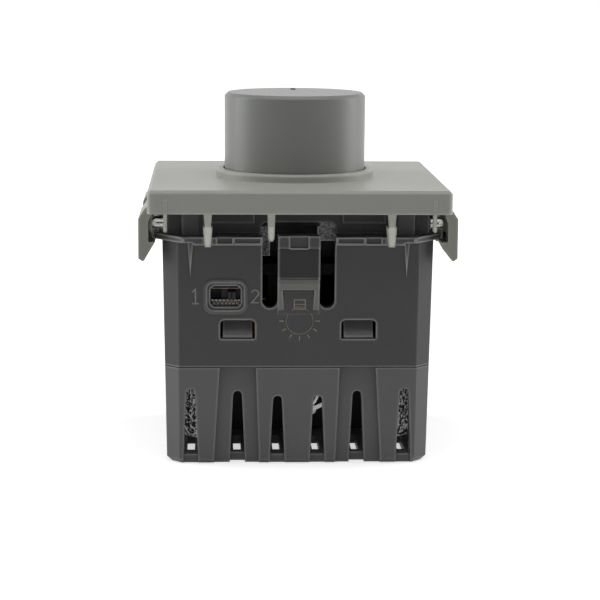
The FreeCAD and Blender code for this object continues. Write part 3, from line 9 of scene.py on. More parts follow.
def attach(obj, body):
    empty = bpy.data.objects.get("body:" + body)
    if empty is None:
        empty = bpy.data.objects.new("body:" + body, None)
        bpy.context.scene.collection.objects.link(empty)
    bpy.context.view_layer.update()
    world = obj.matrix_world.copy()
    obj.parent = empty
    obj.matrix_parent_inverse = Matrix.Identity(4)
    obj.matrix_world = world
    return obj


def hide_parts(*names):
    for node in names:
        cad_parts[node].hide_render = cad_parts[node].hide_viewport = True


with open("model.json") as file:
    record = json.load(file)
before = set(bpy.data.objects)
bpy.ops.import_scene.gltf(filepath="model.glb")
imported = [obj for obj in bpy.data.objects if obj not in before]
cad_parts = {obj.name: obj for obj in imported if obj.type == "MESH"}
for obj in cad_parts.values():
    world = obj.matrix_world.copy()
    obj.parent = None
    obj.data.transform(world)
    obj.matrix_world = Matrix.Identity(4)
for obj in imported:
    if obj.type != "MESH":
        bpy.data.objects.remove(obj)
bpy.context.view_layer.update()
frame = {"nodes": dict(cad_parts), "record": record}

MM = 0.001
nodes = frame["nodes"]


def linear(level):
    """The linear value of one display level from 0 to 255."""
    share = level / 255
    return share / 12.92 if share <= 0.04045 else ((share + 0.055) / 1.055) ** 2.4


def grey(level, warm=0.0):
    """A near neutral colour, given as its display level; warm shifts red up and blue down."""
    return (linear(level + warm), linear(level), linear(level - warm), 1.0)


def shade(red, green, blue):
    """A colour given as the display levels of its three parts."""
    return (linear(red), linear(green), linear(blue), 1.0)


# Camera, fitted to the plate, collar, seam and claws of the photograph

CAMERA_PLACE = Vector((-13.03, -308.18, 75.10)) * MM
CAMERA_YAW = math.radians(2.613)
CAMERA_PITCH = math.radians(9.699)
CAMERA_ROLL = math.radians(0.441)
CAMERA_LENS = 117.86
SENSOR = 36.0


def make_camera():
    """The photograph's camera, built from its place, three turns and lens."""
    data = bpy.data.cameras.new("camera")
    data.lens = CAMERA_LENS
    data.sensor_width = SENSOR
    data.clip_start = 0.01
    data.clip_end = 20
    ahead = Vector((
        math.sin(CAMERA_YAW) * math.cos(CAMERA_PITCH),
        math.cos(CAMERA_YAW) * math.cos(CAMERA_PITCH),
        -math.sin(CAMERA_PITCH),
    ))
    right = Vector((math.cos(CAMERA_YAW), -math.sin(CAMERA_YAW), 0))
    up = right.cross(ahead)
    turned_right = right * math.cos(CAMERA_ROLL) + up * math.sin(CAMERA_ROLL)
    turned_up = up * math.cos(CAMERA_ROLL) - right * math.sin(CAMERA_ROLL)
    camera = bpy.data.objects.new("camera", data)
    axes = Matrix((turned_right, turned_up, -ahead)).transposed()
    camera.matrix_world = Matrix.Translation(CAMERA_PLACE) @ axes.to_4x4()
    bpy.context.scene.collection.objects.link(camera)
    bpy.context.scene.camera = camera


# Lamps, world and floor; powers in watts, places and sizes in metres

AIM = (0, 0, 0.03)
TOP_PLACE = (0.0, -0.12, 0.62)
LEFT_PLACE = (-0.6, 0.12, 0.2)
RIGHT_PLACE = (0.6, 0.12, 0.2)
FRONT_PLACE = (-0.1, -0.7, 0.35)
TOP_POWER = 1.75
SIDE_POWER = 2.2
FRONT_POWER = 0.19
WORLD_LIGHT = 0.055
FLOOR_SHADE = 0.6
FLOOR_NEAR = 0.10
FLOOR_FAR = 0.34
FLOOR_REACH = 3.0
FLOOR_WHITE = (0.86, 0.86, 0.86, 1)
WHITE = (1, 1, 1, 1)


def area_lamp(name, place, aim, width, height, power):
    """A rectangular lamp at a place, turned towards a point."""
    data = bpy.data.lights.new(name, "AREA")
    data.shape = "RECTANGLE"
    data.size = width
    data.size_y = height
    data.energy = power
    lamp = bpy.data.objects.new(name, data)
    lamp.location = place
    lamp.rotation_euler = (Vector(aim) - Vector(place)).to_track_quat("-Z", "Y").to_euler()
    bpy.context.scene.collection.objects.link(lamp)


def make_lamps():
    area_lamp("top_lamp", TOP_PLACE, AIM, 0.6, 0.5, TOP_POWER)
    area_lamp("left_lamp", LEFT_PLACE, AIM, 0.35, 0.5, SIDE_POWER)
    area_lamp("right_lamp", RIGHT_PLACE, AIM, 0.35, 0.5, SIDE_POWER)
    area_lamp("front_lamp", FRONT_PLACE, AIM, 0.5, 0.4, FRONT_POWER)


def seen_share(tree):
    """1 where a ray comes from the camera, a reflection or glass, and 0 where it only lights."""
    path = tree.nodes.new("ShaderNodeLightPath")
    share = path.outputs["Is Camera Ray"]
    for kind in ("Is Glossy Ray", "Is Transmission Ray"):
        either = tree.nodes.new("ShaderNodeMath")
        either.operation = "MAXIMUM"
        tree.links.new(share, either.inputs[0])
        tree.links.new(path.outputs[kind], either.inputs[1])
        share = either.outputs[0]
    return share


def make_world():
    """White to the eye and in reflections, and dim as a light."""
    world = bpy.data.worlds.new("studio")
    bpy.context.scene.world = world
    world.use_nodes = True
    tree = world.node_tree
    tree.nodes.clear()
    light = tree.nodes.new("ShaderNodeBackground")
    light.inputs["Color"].default_value = WHITE
    light.inputs["Strength"].default_value = WORLD_LIGHT
    seen = tree.nodes.new("ShaderNodeBackground")
    seen.inputs["Color"].default_value = WHITE
    seen.inputs["Strength"].default_value = 1.0
    mix = tree.nodes.new("ShaderNodeMixShader")
    output = tree.nodes.new("ShaderNodeOutputWorld")
    tree.links.new(seen_share(tree), mix.inputs["Fac"])
    tree.links.new(light.outputs[0], mix.inputs[1])
    tree.links.new(seen.outputs[0], mix.inputs[2])
    tree.links.new(mix.outputs[0], output.inputs["Surface"])


def make_floor():
    """A white table, lifted to white for the eye, with the object's soft shadow kept."""
    mesh = bpy.data.meshes.new("floor")
    corners = [(sx * FLOOR_REACH, sy * FLOOR_REACH, 0) for sx, sy in ((-1, -1), (1, -1), (1, 1), (-1, 1))]
    mesh.from_pydata(corners, [], [(0, 1, 2, 3)])
    floor = bpy.data.objects.new("floor", mesh)
    bpy.context.scene.collection.objects.link(floor)
    made = bpy.data.materials.new("floor_white")
    made.use_nodes = True
    tree = made.node_tree
    tree.nodes.clear()
    diffuse = tree.nodes.new("ShaderNodeBsdfDiffuse")
    diffuse.inputs["Color"].default_value = FLOOR_WHITE
    glow = tree.nodes.new("ShaderNodeEmission")
    glow.inputs["Color"].default_value = WHITE
    place = tree.nodes.new("ShaderNodeTexCoord")
    away = tree.nodes.new("ShaderNodeVectorMath")
    away.operation = "LENGTH"
    tree.links.new(place.outputs["Object"], away.inputs[0])
    lift = tree.nodes.new("ShaderNodeMath")
    lift.operation = "MULTIPLY"
    farther = ramp(tree, away.outputs["Value"], FLOOR_SHADE, 1.0, FLOOR_NEAR, FLOOR_FAR)
    tree.links.new(farther, lift.inputs[1])
    tree.links.new(seen_share(tree), lift.inputs[0])
    tree.links.new(lift.outputs[0], glow.inputs["Strength"])
    both = tree.nodes.new("ShaderNodeAddShader")
    output = tree.nodes.new("ShaderNodeOutputMaterial")
    tree.links.new(diffuse.outputs[0], both.inputs[0])
    tree.links.new(glow.outputs[0], both.inputs[1])
    tree.links.new(both.outputs[0], output.inputs["Surface"])
    mesh.materials.append(made)


# Materials; each pair of corners bounds a patch painted another colour; the patches are painted light and
# painted shade

# Reach of the painted highlight along outer edges
HIGHLIGHT_REACH = 0.42 * MM
EDGE_FULL = 0.55
EDGE_NONE = 0.92
# Painted shade on the tongue's upper panel under the plate, and painted light on the ramp below it
TONGUE_SHADE_LOW = (-3.05 * MM, -25 * MM, 28.7 * MM)
TONGUE_SHADE_HIGH = (3.05 * MM, -18.6 * MM, 33.4 * MM)
RAMP_LIGHT_LOW = (-3.2 * MM, -19.2 * MM, 23.6 * MM)
RAMP_LIGHT_HIGH = (3.2 * MM, -17.675 * MM, 28.6 * MM)
# Painted light on the cover plate's legs, and lighter still on their hooks
LEGS_LIGHT_LOW = (-25 * MM, -25 * MM, 25 * MM)
LEGS_LIGHT_HIGH = (25 * MM, 25 * MM, 38.85 * MM)
HOOKS_LIGHT_HIGH = (25 * MM, 25 * MM, 36.95 * MM)
# Painted light on the heat sink's foot seen through the vents, and painted shade on its brow under the
# arch
SINK_FOOT_LOW = (-25 * MM, -25 * MM, -5 * MM)
SINK_FOOT_HIGH = (25 * MM, 25 * MM, 18 * MM)
SINK_SHADE_LOW = (-6.3 * MM, -25 * MM, 36.0 * MM)
SINK_SHADE_HIGH = (3.3 * MM, -5 * MM, 38 * MM)
# Painted shade along the seam between the housing and the rear cover
SEAM_SHADE_LOW = (-25 * MM, -25 * MM, 14.92 * MM)
SEAM_SHADE_HIGH = (25 * MM, 25 * MM, 15.1 * MM)
# Painted light on two patches at the frame's front corners
PANEL_LIGHT_LOW = (15.0 * MM, -25 * MM, 35 * MM)
PANEL_LIGHT_HIGH = (17.6 * MM, -15 * MM, 38.6 * MM)
CLOUD_SCALE = 90
SPECK_SCALE = 2600
SPECK_LIFT = 0.16
PLASTIC_IOR = 1.46
SPOT_SCALE = 220
GRIT_SCALE = 3000
GLINT_SCALE = 4600
PEBBLE_SCALE = 2500
# Strength of the glow of the heat sink's foot, painted light
FOOT_GLOW = 0.13
WEAVE_SCALE = 900


def new_material(name):
    made = bpy.data.materials.new(name)
    made.use_nodes = True
    tree = made.node_tree
    shader = next(n for n in tree.nodes if n.type == "BSDF_PRINCIPLED")
    return made, tree, shader


def noise(tree, scale, detail=2.0, rough=0.5, stretch=None):
    """A noise texture fixed to the piece, in cycles per metre."""
    place = tree.nodes.new("ShaderNodeTexCoord")
    texture = tree.nodes.new("ShaderNodeTexNoise")
    texture.inputs["Scale"].default_value = scale
    texture.inputs["Detail"].default_value = detail
    texture.inputs["Roughness"].default_value = rough
    if stretch is None:
        tree.links.new(place.outputs["Object"], texture.inputs["Vector"])
    else:
        mapping = tree.nodes.new("ShaderNodeMapping")
        mapping.inputs["Scale"].default_value = stretch
        tree.links.new(place.outputs["Object"], mapping.inputs["Vector"])
        tree.links.new(mapping.outputs["Vector"], texture.inputs["Vector"])
    return texture.outputs["Fac"]


def ramp(tree, value, low, high, from_low=0.35, from_high=0.65):
    """Map a value between two limits to the range from low to high, held at its ends."""
    spread = tree.nodes.new("ShaderNodeMapRange")
    spread.inputs["From Min"].default_value = from_low
    spread.inputs["From Max"].default_value = from_high
    spread.inputs["To Min"].default_value = low
    spread.inputs["To Max"].default_value = high
    tree.links.new(value, spread.inputs["Value"])
    return spread.outputs["Result"]


def mix_colour(tree, share, first, second):
    """Blend two colours; each may be a fixed colour or another node's output."""
    mix = tree.nodes.new("ShaderNodeMix")
    mix.data_type = "RGBA"
    tree.links.new(share, mix.inputs["Factor"])
    for socket, colour in ((mix.inputs[6], first), (mix.inputs[7], second)):
        if isinstance(colour, (tuple, list)):
            socket.default_value = colour
        else:
            tree.links.new(colour, socket)
    return mix.outputs[2]


def bumped(tree, shader, height, distance, edge=0.0):
    """Raise the surface by a height from 0 to 1, over an optional softened edge."""
    bump = tree.nodes.new("ShaderNodeBump")
    bump.inputs["Distance"].default_value = distance
    bump.inputs["Strength"].default_value = 1.0
    tree.links.new(height, bump.inputs["Height"])
    if edge:
        soft = tree.nodes.new("ShaderNodeBevel")
        soft.samples = 4
        soft.inputs["Radius"].default_value = edge
        tree.links.new(soft.outputs["Normal"], bump.inputs["Normal"])
    tree.links.new(bump.outputs["Normal"], shader.inputs["Normal"])


def edge_share(tree, reach):
    """0 on open faces, rising to 1 along the outer edges of a piece, over the given reach."""
    inward = tree.nodes.new("ShaderNodeAmbientOcclusion")
    inward.inside = True
    inward.only_local = True
    inward.samples = 8
    inward.inputs["Distance"].default_value = reach
    return ramp(tree, inward.outputs["AO"], 1.0, 0.0, EDGE_FULL, EDGE_NONE)


def within(tree, low, high):
    """1 inside a box of the object's frame and 0 outside it."""
    place = tree.nodes.new("ShaderNodeTexCoord")
    parts = tree.nodes.new("ShaderNodeSeparateXYZ")
    tree.links.new(place.outputs["Object"], parts.inputs[0])
    share = None
    for axis, start, end in zip("XYZ", low, high):
        near_middle = tree.nodes.new("ShaderNodeMath")
        near_middle.operation = "COMPARE"
        near_middle.inputs[1].default_value = (start + end) / 2
        near_middle.inputs[2].default_value = (end - start) / 2
        tree.links.new(parts.outputs[axis], near_middle.inputs[0])
        if share is None:
            share = near_middle.outputs[0]
        else:
            both = tree.nodes.new("ShaderNodeMath")
            both.operation = "MULTIPLY"
            tree.links.new(share, both.inputs[0])
            tree.links.new(near_middle.outputs[0], both.inputs[1])
            share = both.outputs[0]
    return share


def moulded(name, colour, rough, grain=6000.0, depth=6e-6, edge=0.2 * MM, spread=0.05, dust=0.0,
            gloss=0.5, edge_highlight=None, patches=(), shadowed=None, glow=0.0):
    """Injection moulded plastic: fine spark texture, faint clouding, pale specks and a painted highlight
    on the outer edges.

    The edge colour given is a painted highlight along the outer edges, and each patch is a box, by its
    lowest and highest corner, with the colour painted on the surface inside it; here the patches are
    painted light and painted shade. shadowed is a patch of painted shade, laid over the edge highlight
    too. glow makes the plastic glow, as painted light.
    """
    made, tree, shader = new_material(name)
    cloud = noise(tree, CLOUD_SCALE, 4)
    light = tuple(min(1, c * (1 + spread)) for c in colour[:3]) + (1,)
    dark = tuple(c * (1 - spread) for c in colour[:3]) + (1,)
    tone = mix_colour(tree, ramp(tree, cloud, 0, 1), dark, light)
    grains = noise(tree, grain, 2, 0.6)
    tone_low = tuple(c * 0.93 for c in colour[:3]) + (1,)
    speck_share = ramp(tree, grains, 0.0, 0.35, 0.3, 0.75)
    tone = mix_colour(tree, speck_share, tone, tone_low)
    if dust:
        specks = noise(tree, SPECK_SCALE, 1, 0.4)
        pale = tuple(min(1, c + SPECK_LIFT) for c in colour[:3]) + (1,)
        tone = mix_colour(tree, ramp(tree, specks, 0, dust, 0.71, 0.78), tone, pale)
    for low, high, other in patches:
        tone = mix_colour(tree, within(tree, low, high), tone, other)
    # Painted highlight: the outer edges are made lighter, where light catches them
    if edge_highlight:
        tone = mix_colour(tree, edge_share(tree, HIGHLIGHT_REACH), tone, edge_highlight)
    # Painted shade over the given box, on top of the edge highlight
    if shadowed:
        low, high, deep = shadowed
        tone = mix_colour(tree, within(tree, low, high), tone, deep)
    if glow:
        shader.inputs["Emission Color"].default_value = WHITE
        shader.inputs["Emission Strength"].default_value = glow
    shader.inputs["Specular IOR Level"].default_value = gloss
    tree.links.new(tone, shader.inputs["Base Color"])
    tree.links.new(ramp(tree, grains, rough - 0.06, rough + 0.06), shader.inputs["Roughness"])
    shader.inputs["IOR"].default_value = PLASTIC_IOR
    bumped(tree, shader, grains, depth, edge=edge)
    return made


def metal(name, colour, rough, brush=(1, 1, 1), scale=900.0, depth=3e-6, spots=0.15, edge=0.08 * MM):
    """Plated or drawn metal with faint brushing and duller spots."""
    made, tree, shader = new_material(name)
    shader.inputs["Metallic"].default_value = 1.0
    strokes = noise(tree, scale, 3, 0.6, brush)
    spotted = noise(tree, SPOT_SCALE, 4)
    dull = tuple(c * (1 - spots) for c in colour[:3]) + (1,)
    tone = mix_colour(tree, ramp(tree, spotted, 0, 1), dull, colour)
    tree.links.new(tone, shader.inputs["Base Color"])
    tree.links.new(ramp(tree, strokes, rough - 0.08, rough + 0.1), shader.inputs["Roughness"])
    bumped(tree, shader, strokes, depth, edge=edge)
    return made


def cast(name, colour, rough):
    """Sand-like cast metal with dark grit and pale glints, painted light on its foot, which glows, a
    painted highlight on its edges and painted shade on its brow.
    """
    made, tree, shader = new_material(name)
    shader.inputs["Metallic"].default_value = 0.35
    grit = noise(tree, GRIT_SCALE, 3, 0.75)
    glints = noise(tree, GLINT_SCALE, 2, 0.6)
    dark = tuple(c * 0.2 for c in colour[:3]) + (1,)
    pale = tuple(min(1, c * 2.1) for c in colour[:3]) + (1,)
    tone = mix_colour(tree, ramp(tree, grit, 0, 1, 0.42, 0.58), dark, colour)
    tone = mix_colour(tree, ramp(tree, glints, 0, 1, 0.54, 0.64), tone, pale)
    # Painted light: the foot is made lighter and glows
    pebbles = noise(tree, PEBBLE_SCALE, 2, 0.6)
    lit_foot = mix_colour(tree, ramp(tree, pebbles, 0, 1, 0.48, 0.6), grey(40), grey(255))
    foot = within(tree, SINK_FOOT_LOW, SINK_FOOT_HIGH)
    tone = mix_colour(tree, foot, tone, lit_foot)
    tree.links.new(mix_colour(tree, foot, grey(0), lit_foot), shader.inputs["Emission Color"])
    shader.inputs["Emission Strength"].default_value = FOOT_GLOW
    # Painted highlight along the outer edges
    tone = mix_colour(tree, edge_share(tree, 0.3 * MM), tone, pale)
    # Painted shade on the brow, under the arch
    tone = mix_colour(tree, within(tree, SINK_SHADE_LOW, SINK_SHADE_HIGH), tone, grey(10))
    tree.links.new(tone, shader.inputs["Base Color"])
    tree.links.new(ramp(tree, glints, rough - 0.1, rough + 0.15), shader.inputs["Roughness"])
    bumped(tree, shader, grit, 1.4e-4, edge=0.1 * MM)
    return made


def laminate(name):
    """Black solder mask with a faint weave showing through."""
    made, tree, shader = new_material(name)
    place = tree.nodes.new("ShaderNodeTexCoord")
    weave = tree.nodes.new("ShaderNodeTexWave")
    weave.inputs["Scale"].default_value = WEAVE_SCALE
    weave.inputs["Distortion"].default_value = 0.6
    tree.links.new(place.outputs["Object"], weave.inputs["Vector"])
    tone = mix_colour(tree, weave.outputs["Fac"], shade(13, 14, 13), shade(20, 21, 19))
    cloud = noise(tree, 300, 3)
    tone = mix_colour(tree, ramp(tree, cloud, 0, 0.5), tone, shade(10, 11, 10))
    tree.links.new(tone, shader.inputs["Base Color"])
    tree.links.new(ramp(tree, cloud, 0.6, 0.75), shader.inputs["Roughness"])
    shader.inputs["Specular IOR Level"].default_value = 0.08
    bumped(tree, shader, weave.outputs["Fac"], 1e-5)
    return made


def glassy(name):
    """Clear glass with a faint haze."""
    made, tree, shader = new_material(name)
    shader.inputs["Transmission Weight"].default_value = 0.9
    shader.inputs["IOR"].default_value = 1.5
    haze = noise(tree, 700, 2)
    tree.links.new(mix_colour(tree, haze, grey(235), grey(250)), shader.inputs["Base Color"])
    tree.links.new(ramp(tree, haze, 0.03, 0.12), shader.inputs["Roughness"])
    bumped(tree, shader, haze, 4e-6)
    return made


def mirrored(low, high):
    """The corners of a box on the other side of the middle."""
    return (-high[0], low[1], low[2]), (-low[0], high[1], high[2])


def make_materials():
    """One material for each slot of the record, and two more for single pieces."""
    lit_panels = [(PANEL_LIGHT_LOW, PANEL_LIGHT_HIGH), mirrored(PANEL_LIGHT_LOW, PANEL_LIGHT_HIGH)]
    # The edge colours given below are painted highlights along the outer edges
    return {
        # The plate plastic is painted lighter on its legs and lighter still on their hooks: painted light
        "plate_plastic": moulded("plate_plastic", shade(166, 166, 160), 0.42, depth=4e-6,
                                 edge=0.4 * MM, spread=0.03, edge_highlight=shade(204, 204, 197),
                                 patches=[(LEGS_LIGHT_LOW, LEGS_LIGHT_HIGH, shade(204, 205, 194)),
                                          (LEGS_LIGHT_LOW, HOOKS_LIGHT_HIGH, shade(240, 240, 228))]),
        "knob_plastic": moulded("knob_plastic", shade(126, 128, 124), 0.36, depth=4e-6,
                                edge=0.35 * MM, spread=0.03),
        "shaft_plastic": moulded("shaft_plastic", grey(215, 3), 0.4),
        # The housing plastic has painted shade on the tongue, painted light on its ramp and painted shade
        # along the seam
        "housing_plastic": moulded("housing_plastic", shade(76, 76, 76), 0.45, depth=1.1e-5,
                                   edge=0.25 * MM, dust=0.12, gloss=0.3, edge_highlight=shade(172, 172, 170),
                                   patches=[(TONGUE_SHADE_LOW, TONGUE_SHADE_HIGH, shade(36, 36, 36)),
                                            (RAMP_LIGHT_LOW, RAMP_LIGHT_HIGH, shade(124, 124, 122))],
                                   shadowed=(SEAM_SHADE_LOW, SEAM_SHADE_HIGH, shade(24, 24, 24))),
        # A lighter copy of the housing plastic for the rear cover: painted light on the lower body, with
        # painted shade along the seam
        "cover_plastic": moulded("cover_plastic", shade(107, 107, 107), 0.45, depth=1.1e-5,
                                 edge=0.25 * MM, dust=0.12, gloss=0.3, edge_highlight=shade(150, 150, 149),
                                 shadowed=(SEAM_SHADE_LOW, SEAM_SHADE_HIGH, shade(24, 24, 24))),
        # The frame plastic is painted lighter on two patches at its front corners: painted light
        "frame_plastic": moulded("frame_plastic", shade(60, 60, 61), 0.5, edge=0.25 * MM, dust=0.1,
                                 gloss=0.3, edge_highlight=shade(140, 140, 140),
                                 patches=[(low, high, shade(92, 92, 93)) for low, high in lit_panels]),
        "claw_plastic": moulded("claw_plastic", shade(146, 149, 138), 0.4, edge=0.4 * MM, spread=0.05,
                                edge_highlight=shade(178, 181, 168)),
        "zinc_steel": metal("zinc_steel", shade(205, 205, 200), 0.24, (1, 0.12, 1), edge=0.2 * MM),
        "bent_zinc": metal("bent_zinc", shade(205, 205, 200), 0.3, (1, 0.3, 2), 1600.0, 1.2e-4, 0.6,
                           edge=0.25 * MM),
        "spring_steel": metal("spring_steel", shade(180, 180, 182), 0.32),
        "cast_aluminium": cast("cast_aluminium", grey(170), 0.6),
        "switch_plastic": moulded("switch_plastic", grey(30), 0.45, gloss=0.3),
        "board_laminate": laminate("board_laminate"),
        "ferrite": moulded("ferrite", grey(72, 2), 0.75, 2500, 2e-5),
        "copper_wire": metal("copper_wire", shade(196, 112, 62), 0.28),
        "capacitor_case": moulded("capacitor_case", shade(196, 158, 60), 0.25, depth=8e-6),
        "can_sleeve": moulded("can_sleeve", shade(38, 44, 62), 0.25),
        "fuse_glass": glassy("fuse_glass"),
        # The sleeves glow faintly: painted light on the leads inside the housing
        "lead_sleeve": moulded("lead_sleeve", grey(238, 2), 0.45, glow=0.2),
        "tinned_brass": metal("tinned_brass", shade(206, 196, 160), 0.3),
    }


# The rear cover takes a lighter copy of the housing plastic, as painted light; the slider takes its own
# switch plastic
OWN_MATERIAL_AND_LIT_COPY = {"rear_cover": "cover_plastic", "selector_slider": "switch_plastic"}


def dress_nodes(materials):
    """Give every carried-over CAD node the material of its slot, or the one listed for it instead, such
    as the lighter copy of the housing plastic for the rear cover, which is painted light.
    """
    for part in frame["record"]["subparts"]:
        shown = nodes[part["node"]]
        shown.data.materials.clear()
        shown.data.materials.append(materials[OWN_MATERIAL_AND_LIT_COPY.get(part["node"], part["material_slot"])])


# Mesh helpers

def add_piece(name, build, material, body):
    """A closed mesh made by build(bm), in millimetres, that rides on a body."""
    mesh = bpy.data.meshes.new(name)
    bm = bmesh.new()
    build(bm)
    bmesh.ops.recalc_face_normals(bm, faces=bm.faces)
    bmesh.ops.scale(bm, vec=(MM, MM, MM), verts=bm.verts)
    bm.to_mesh(mesh)
    bm.free()
    mesh.materials.append(material)
    piece = bpy.data.objects.new(name, mesh)
    bpy.context.scene.collection.objects.link(piece)
    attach(piece, body)
    return piece


def mitred(path, closed):
    """The direction across a flat path at each of its points, longer where it turns."""
    across = []
    count = len(path)
    for n, point in enumerate(path):
        before = path[n - 1] if closed or n else None
        after = path[(n + 1) % count] if closed or n < count - 1 else None
        sides = []
        for start, end in ((before, point), (point, after)):
            if start is not None and end is not None:
                run = Vector(end) - Vector(start)
                sides.append(Vector((-run[1], run[0])).normalized())
        mean = sum(sides, Vector((0, 0))).normalized()
        across.append(mean / max(0.4, mean.dot(sides[0])))
    return across


def stroke(bm, path, width, surface, rise, closed=False):
    """A raised line along a path of (x, z) points, standing on the face at y = surface(x, z)."""
    rings = []
    for point, side in zip(path, mitred(path, closed)):
        ring = []
        for share, height in ((-0.5, -SUNK), (0.5, -SUNK), (0.5, rise), (-0.5, rise)):
            x, z = Vector(point) + side * share * width
            ring.append(bm.verts.new((x, surface(x, z) - height, z)))
        rings.append(ring)
    pairs = list(zip(rings, rings[1:]))
    if closed:
        pairs.append((rings[-1], rings[0]))
    else:
        bm.faces.new(rings[0])
        bm.faces.new(reversed(rings[-1]))
    for first, second in pairs:
        for n in range(4):
            bm.faces.new((first[n], first[(n + 1) % 4], second[(n + 1) % 4], second[n]))


def arc(centre, radius, start, end, steps):
    """Points along an arc of the (x, z) plane, its angles in degrees."""
    turns = [math.radians(start + (end - start) * n / steps) for n in range(steps + 1)]
    return [(centre[0] + radius * math.cos(t), centre[1] + radius * math.sin(t)) for t in turns]


def solid(bm, low, high):
    """A box between two corners, with its faces left flat."""
    made = bmesh.ops.create_cube(bm, size=1.0)
    middle = (Vector(low) + Vector(high)) / 2
    bmesh.ops.scale(bm, vec=Vector(high) - Vector(low), verts=made["verts"])
    bmesh.ops.translate(bm, vec=middle, verts=made["verts"])
    return made["verts"]


# Front face of the housing, which leans out towards the flange

SUNK = 0.05
SEAM = 15.0
FRONT_AT_SEAM = 17.4
FRONT_LEAN = 0.34 / 19.25
RAMP_LOW = 23.2
RAMP_HIGH = 27.05
RAMP_OUT = 0.57
RECESS_FACE = 17.66


def front_face(x, z):
    """The housing's front at a height z above the table, the same for every x."""
    return -(FRONT_AT_SEAM + (z - SEAM) * FRONT_LEAN)


def sign_face(x, z):
    """The face under the lamp sign: the housing's front, then the ramp, then the recess."""
    level = -front_face(x, z)
    if z > RAMP_LOW:
        ramp_face = -front_face(x, RAMP_LOW) + (z - RAMP_LOW) * RAMP_OUT / (RAMP_HIGH - RAMP_LOW)
        level = max(level, min(RECESS_FACE, ramp_face))
    return -level


# Printed lamp sign: a bulb with its cap and seven rays

GLASS_LINE = 0.07
CAP_LINE = 0.1
SIGN_LINE = 0.15
SIGN_CENTRE = (0.2, 22.16)
BULB_RADIUS = 2.03
CAP_HALF = 0.82
CAP_HIGH = 25.42
CAP_LINES = (24.72, 24.32)
RAY_START = 2.35
RAY_END = 3.05
RAY_TURNS = range(180, 361, 30)
PRINT_RISE = 0.03


def lamp_sign(bm):
    x, z = SIGN_CENTRE
    gap = math.degrees(math.asin(CAP_HALF / BULB_RADIUS))
    neck = z + BULB_RADIUS * math.cos(math.radians(gap))
    bulb = arc(SIGN_CENTRE, BULB_RADIUS, 90 + gap, 450 - gap, 48)
    stroke(bm, bulb, GLASS_LINE, sign_face, PRINT_RISE)
    cap = [(x - CAP_HALF, neck), (x - CAP_HALF, CAP_HIGH), (x + CAP_HALF, CAP_HIGH), (x + CAP_HALF, neck)]
    stroke(bm, cap, SIGN_LINE, sign_face, PRINT_RISE, closed=True)
    for level in CAP_LINES:
        stroke(bm, [(x - CAP_HALF, level), (x + CAP_HALF, level)], CAP_LINE, sign_face, PRINT_RISE - 0.01)
    for turn in RAY_TURNS:
        aim = Vector((math.cos(math.radians(turn)), math.sin(math.radians(turn))))
        ends = [tuple(Vector(SIGN_CENTRE) + aim * reach) for reach in (RAY_START, RAY_END)]
        stroke(bm, ends, SIGN_LINE, sign_face, PRINT_RISE)


# Plain raised numbers beside the selector, one for each of its ends

NUMBER_WIDTH = 0.24
NUMBER_RISE = 0.12
LEFT_NUMBER = (-15.45, 25.95)
RIGHT_NUMBER = (-6.5, 25.95)


def number_one(bm):
    x, z = LEFT_NUMBER
    stem = [(x - 0.5, z + 0.65), (x, z + 1.1), (x, z - 1.05)]
    stroke(bm, stem, NUMBER_WIDTH, front_face, NUMBER_RISE)
    stroke(bm, [(x - 0.5, z - 1.1), (x + 0.5, z - 1.1)], NUMBER_WIDTH, front_face, NUMBER_RISE - 0.01)


def number_two(bm):
    x, z = RIGHT_NUMBER
    bow = arc((x, z + 0.45), 0.52, 165, -25, 12)
    stroke(bm, bow + [(x - 0.52, z - 0.95), (x + 0.58, z - 0.95)], NUMBER_WIDTH, front_face, NUMBER_RISE)


# Metal shell of the selector: a bright upper lip and a crimped lower edge

SHELL_FACE = -15.95
SHELL_LEFT = -13.05
SHELL_RIGHT = -8.75
LIP_LEVEL = 26.9
CRIMP_LOW = 24.5
CRIMP_HIGH = 25.2
CRIMP_COUNT = 15


def selector_shell(bm):
    """A lip above the slider, and below it a strip with a row of pressed teeth."""
    back = SHELL_FACE + 0.02
    solid(bm, (SHELL_LEFT, SHELL_FACE - 0.25, LIP_LEVEL), (SHELL_RIGHT, back, LIP_LEVEL + 0.09))
    solid(bm, (SHELL_LEFT, SHELL_FACE - 0.1, CRIMP_LOW - 0.1), (SHELL_RIGHT, back, CRIMP_HIGH))
    step = (SHELL_RIGHT - SHELL_LEFT) / CRIMP_COUNT
    for n in range(CRIMP_COUNT):
        middle = SHELL_LEFT + (n + 0.5) * step
        tooth = bmesh.ops.create_icosphere(bm, subdivisions=1, radius=0.5)
        lift = (CRIMP_LOW + CRIMP_HIGH) / 2 + (0.1 if n % 2 else -0.1)
        bmesh.ops.scale(bm, vec=(step * 1.1, 0.34, 0.5), verts=tooth["verts"])
        bmesh.ops.translate(bm, vec=(middle, SHELL_FACE - 0.1, lift), verts=tooth["verts"])


# Insulating card behind the boards, which keeps the rear slots' light out of the front

CARD_CORNER = 1.2
CARD_FACE = 14.5
CARD_THICK = 0.3
CARD_HALF = 12.0
CARD_LOW = 13.0
CARD_HIGH = 28.4


def insulation_card(bm):
    low = (-CARD_HALF, CARD_FACE, CARD_LOW)
    high = (CARD_HALF, CARD_FACE + CARD_THICK, CARD_HIGH)
    card = solid(bm, low, high)
    edges = {e for v in card for e in v.link_edges if abs(e.verts[0].co.y - e.verts[1].co.y) > 0.1}
    bmesh.ops.bevel(bm, geom=list(edges), offset=CARD_CORNER, segments=4, affect="EDGES",
                    profile=0.5)


# Folded ends of the steel bridge, which lie over the flange's lugs beside the claws

HEM_END = 21.4
HEM_LEVEL = 36.62
HEM_RADIUS = 0.63
HEM_SLIT = 0.07
HEM_ROOT = 20.05
HEM_NEAR = 11.1
HEM_FAR = 14.2


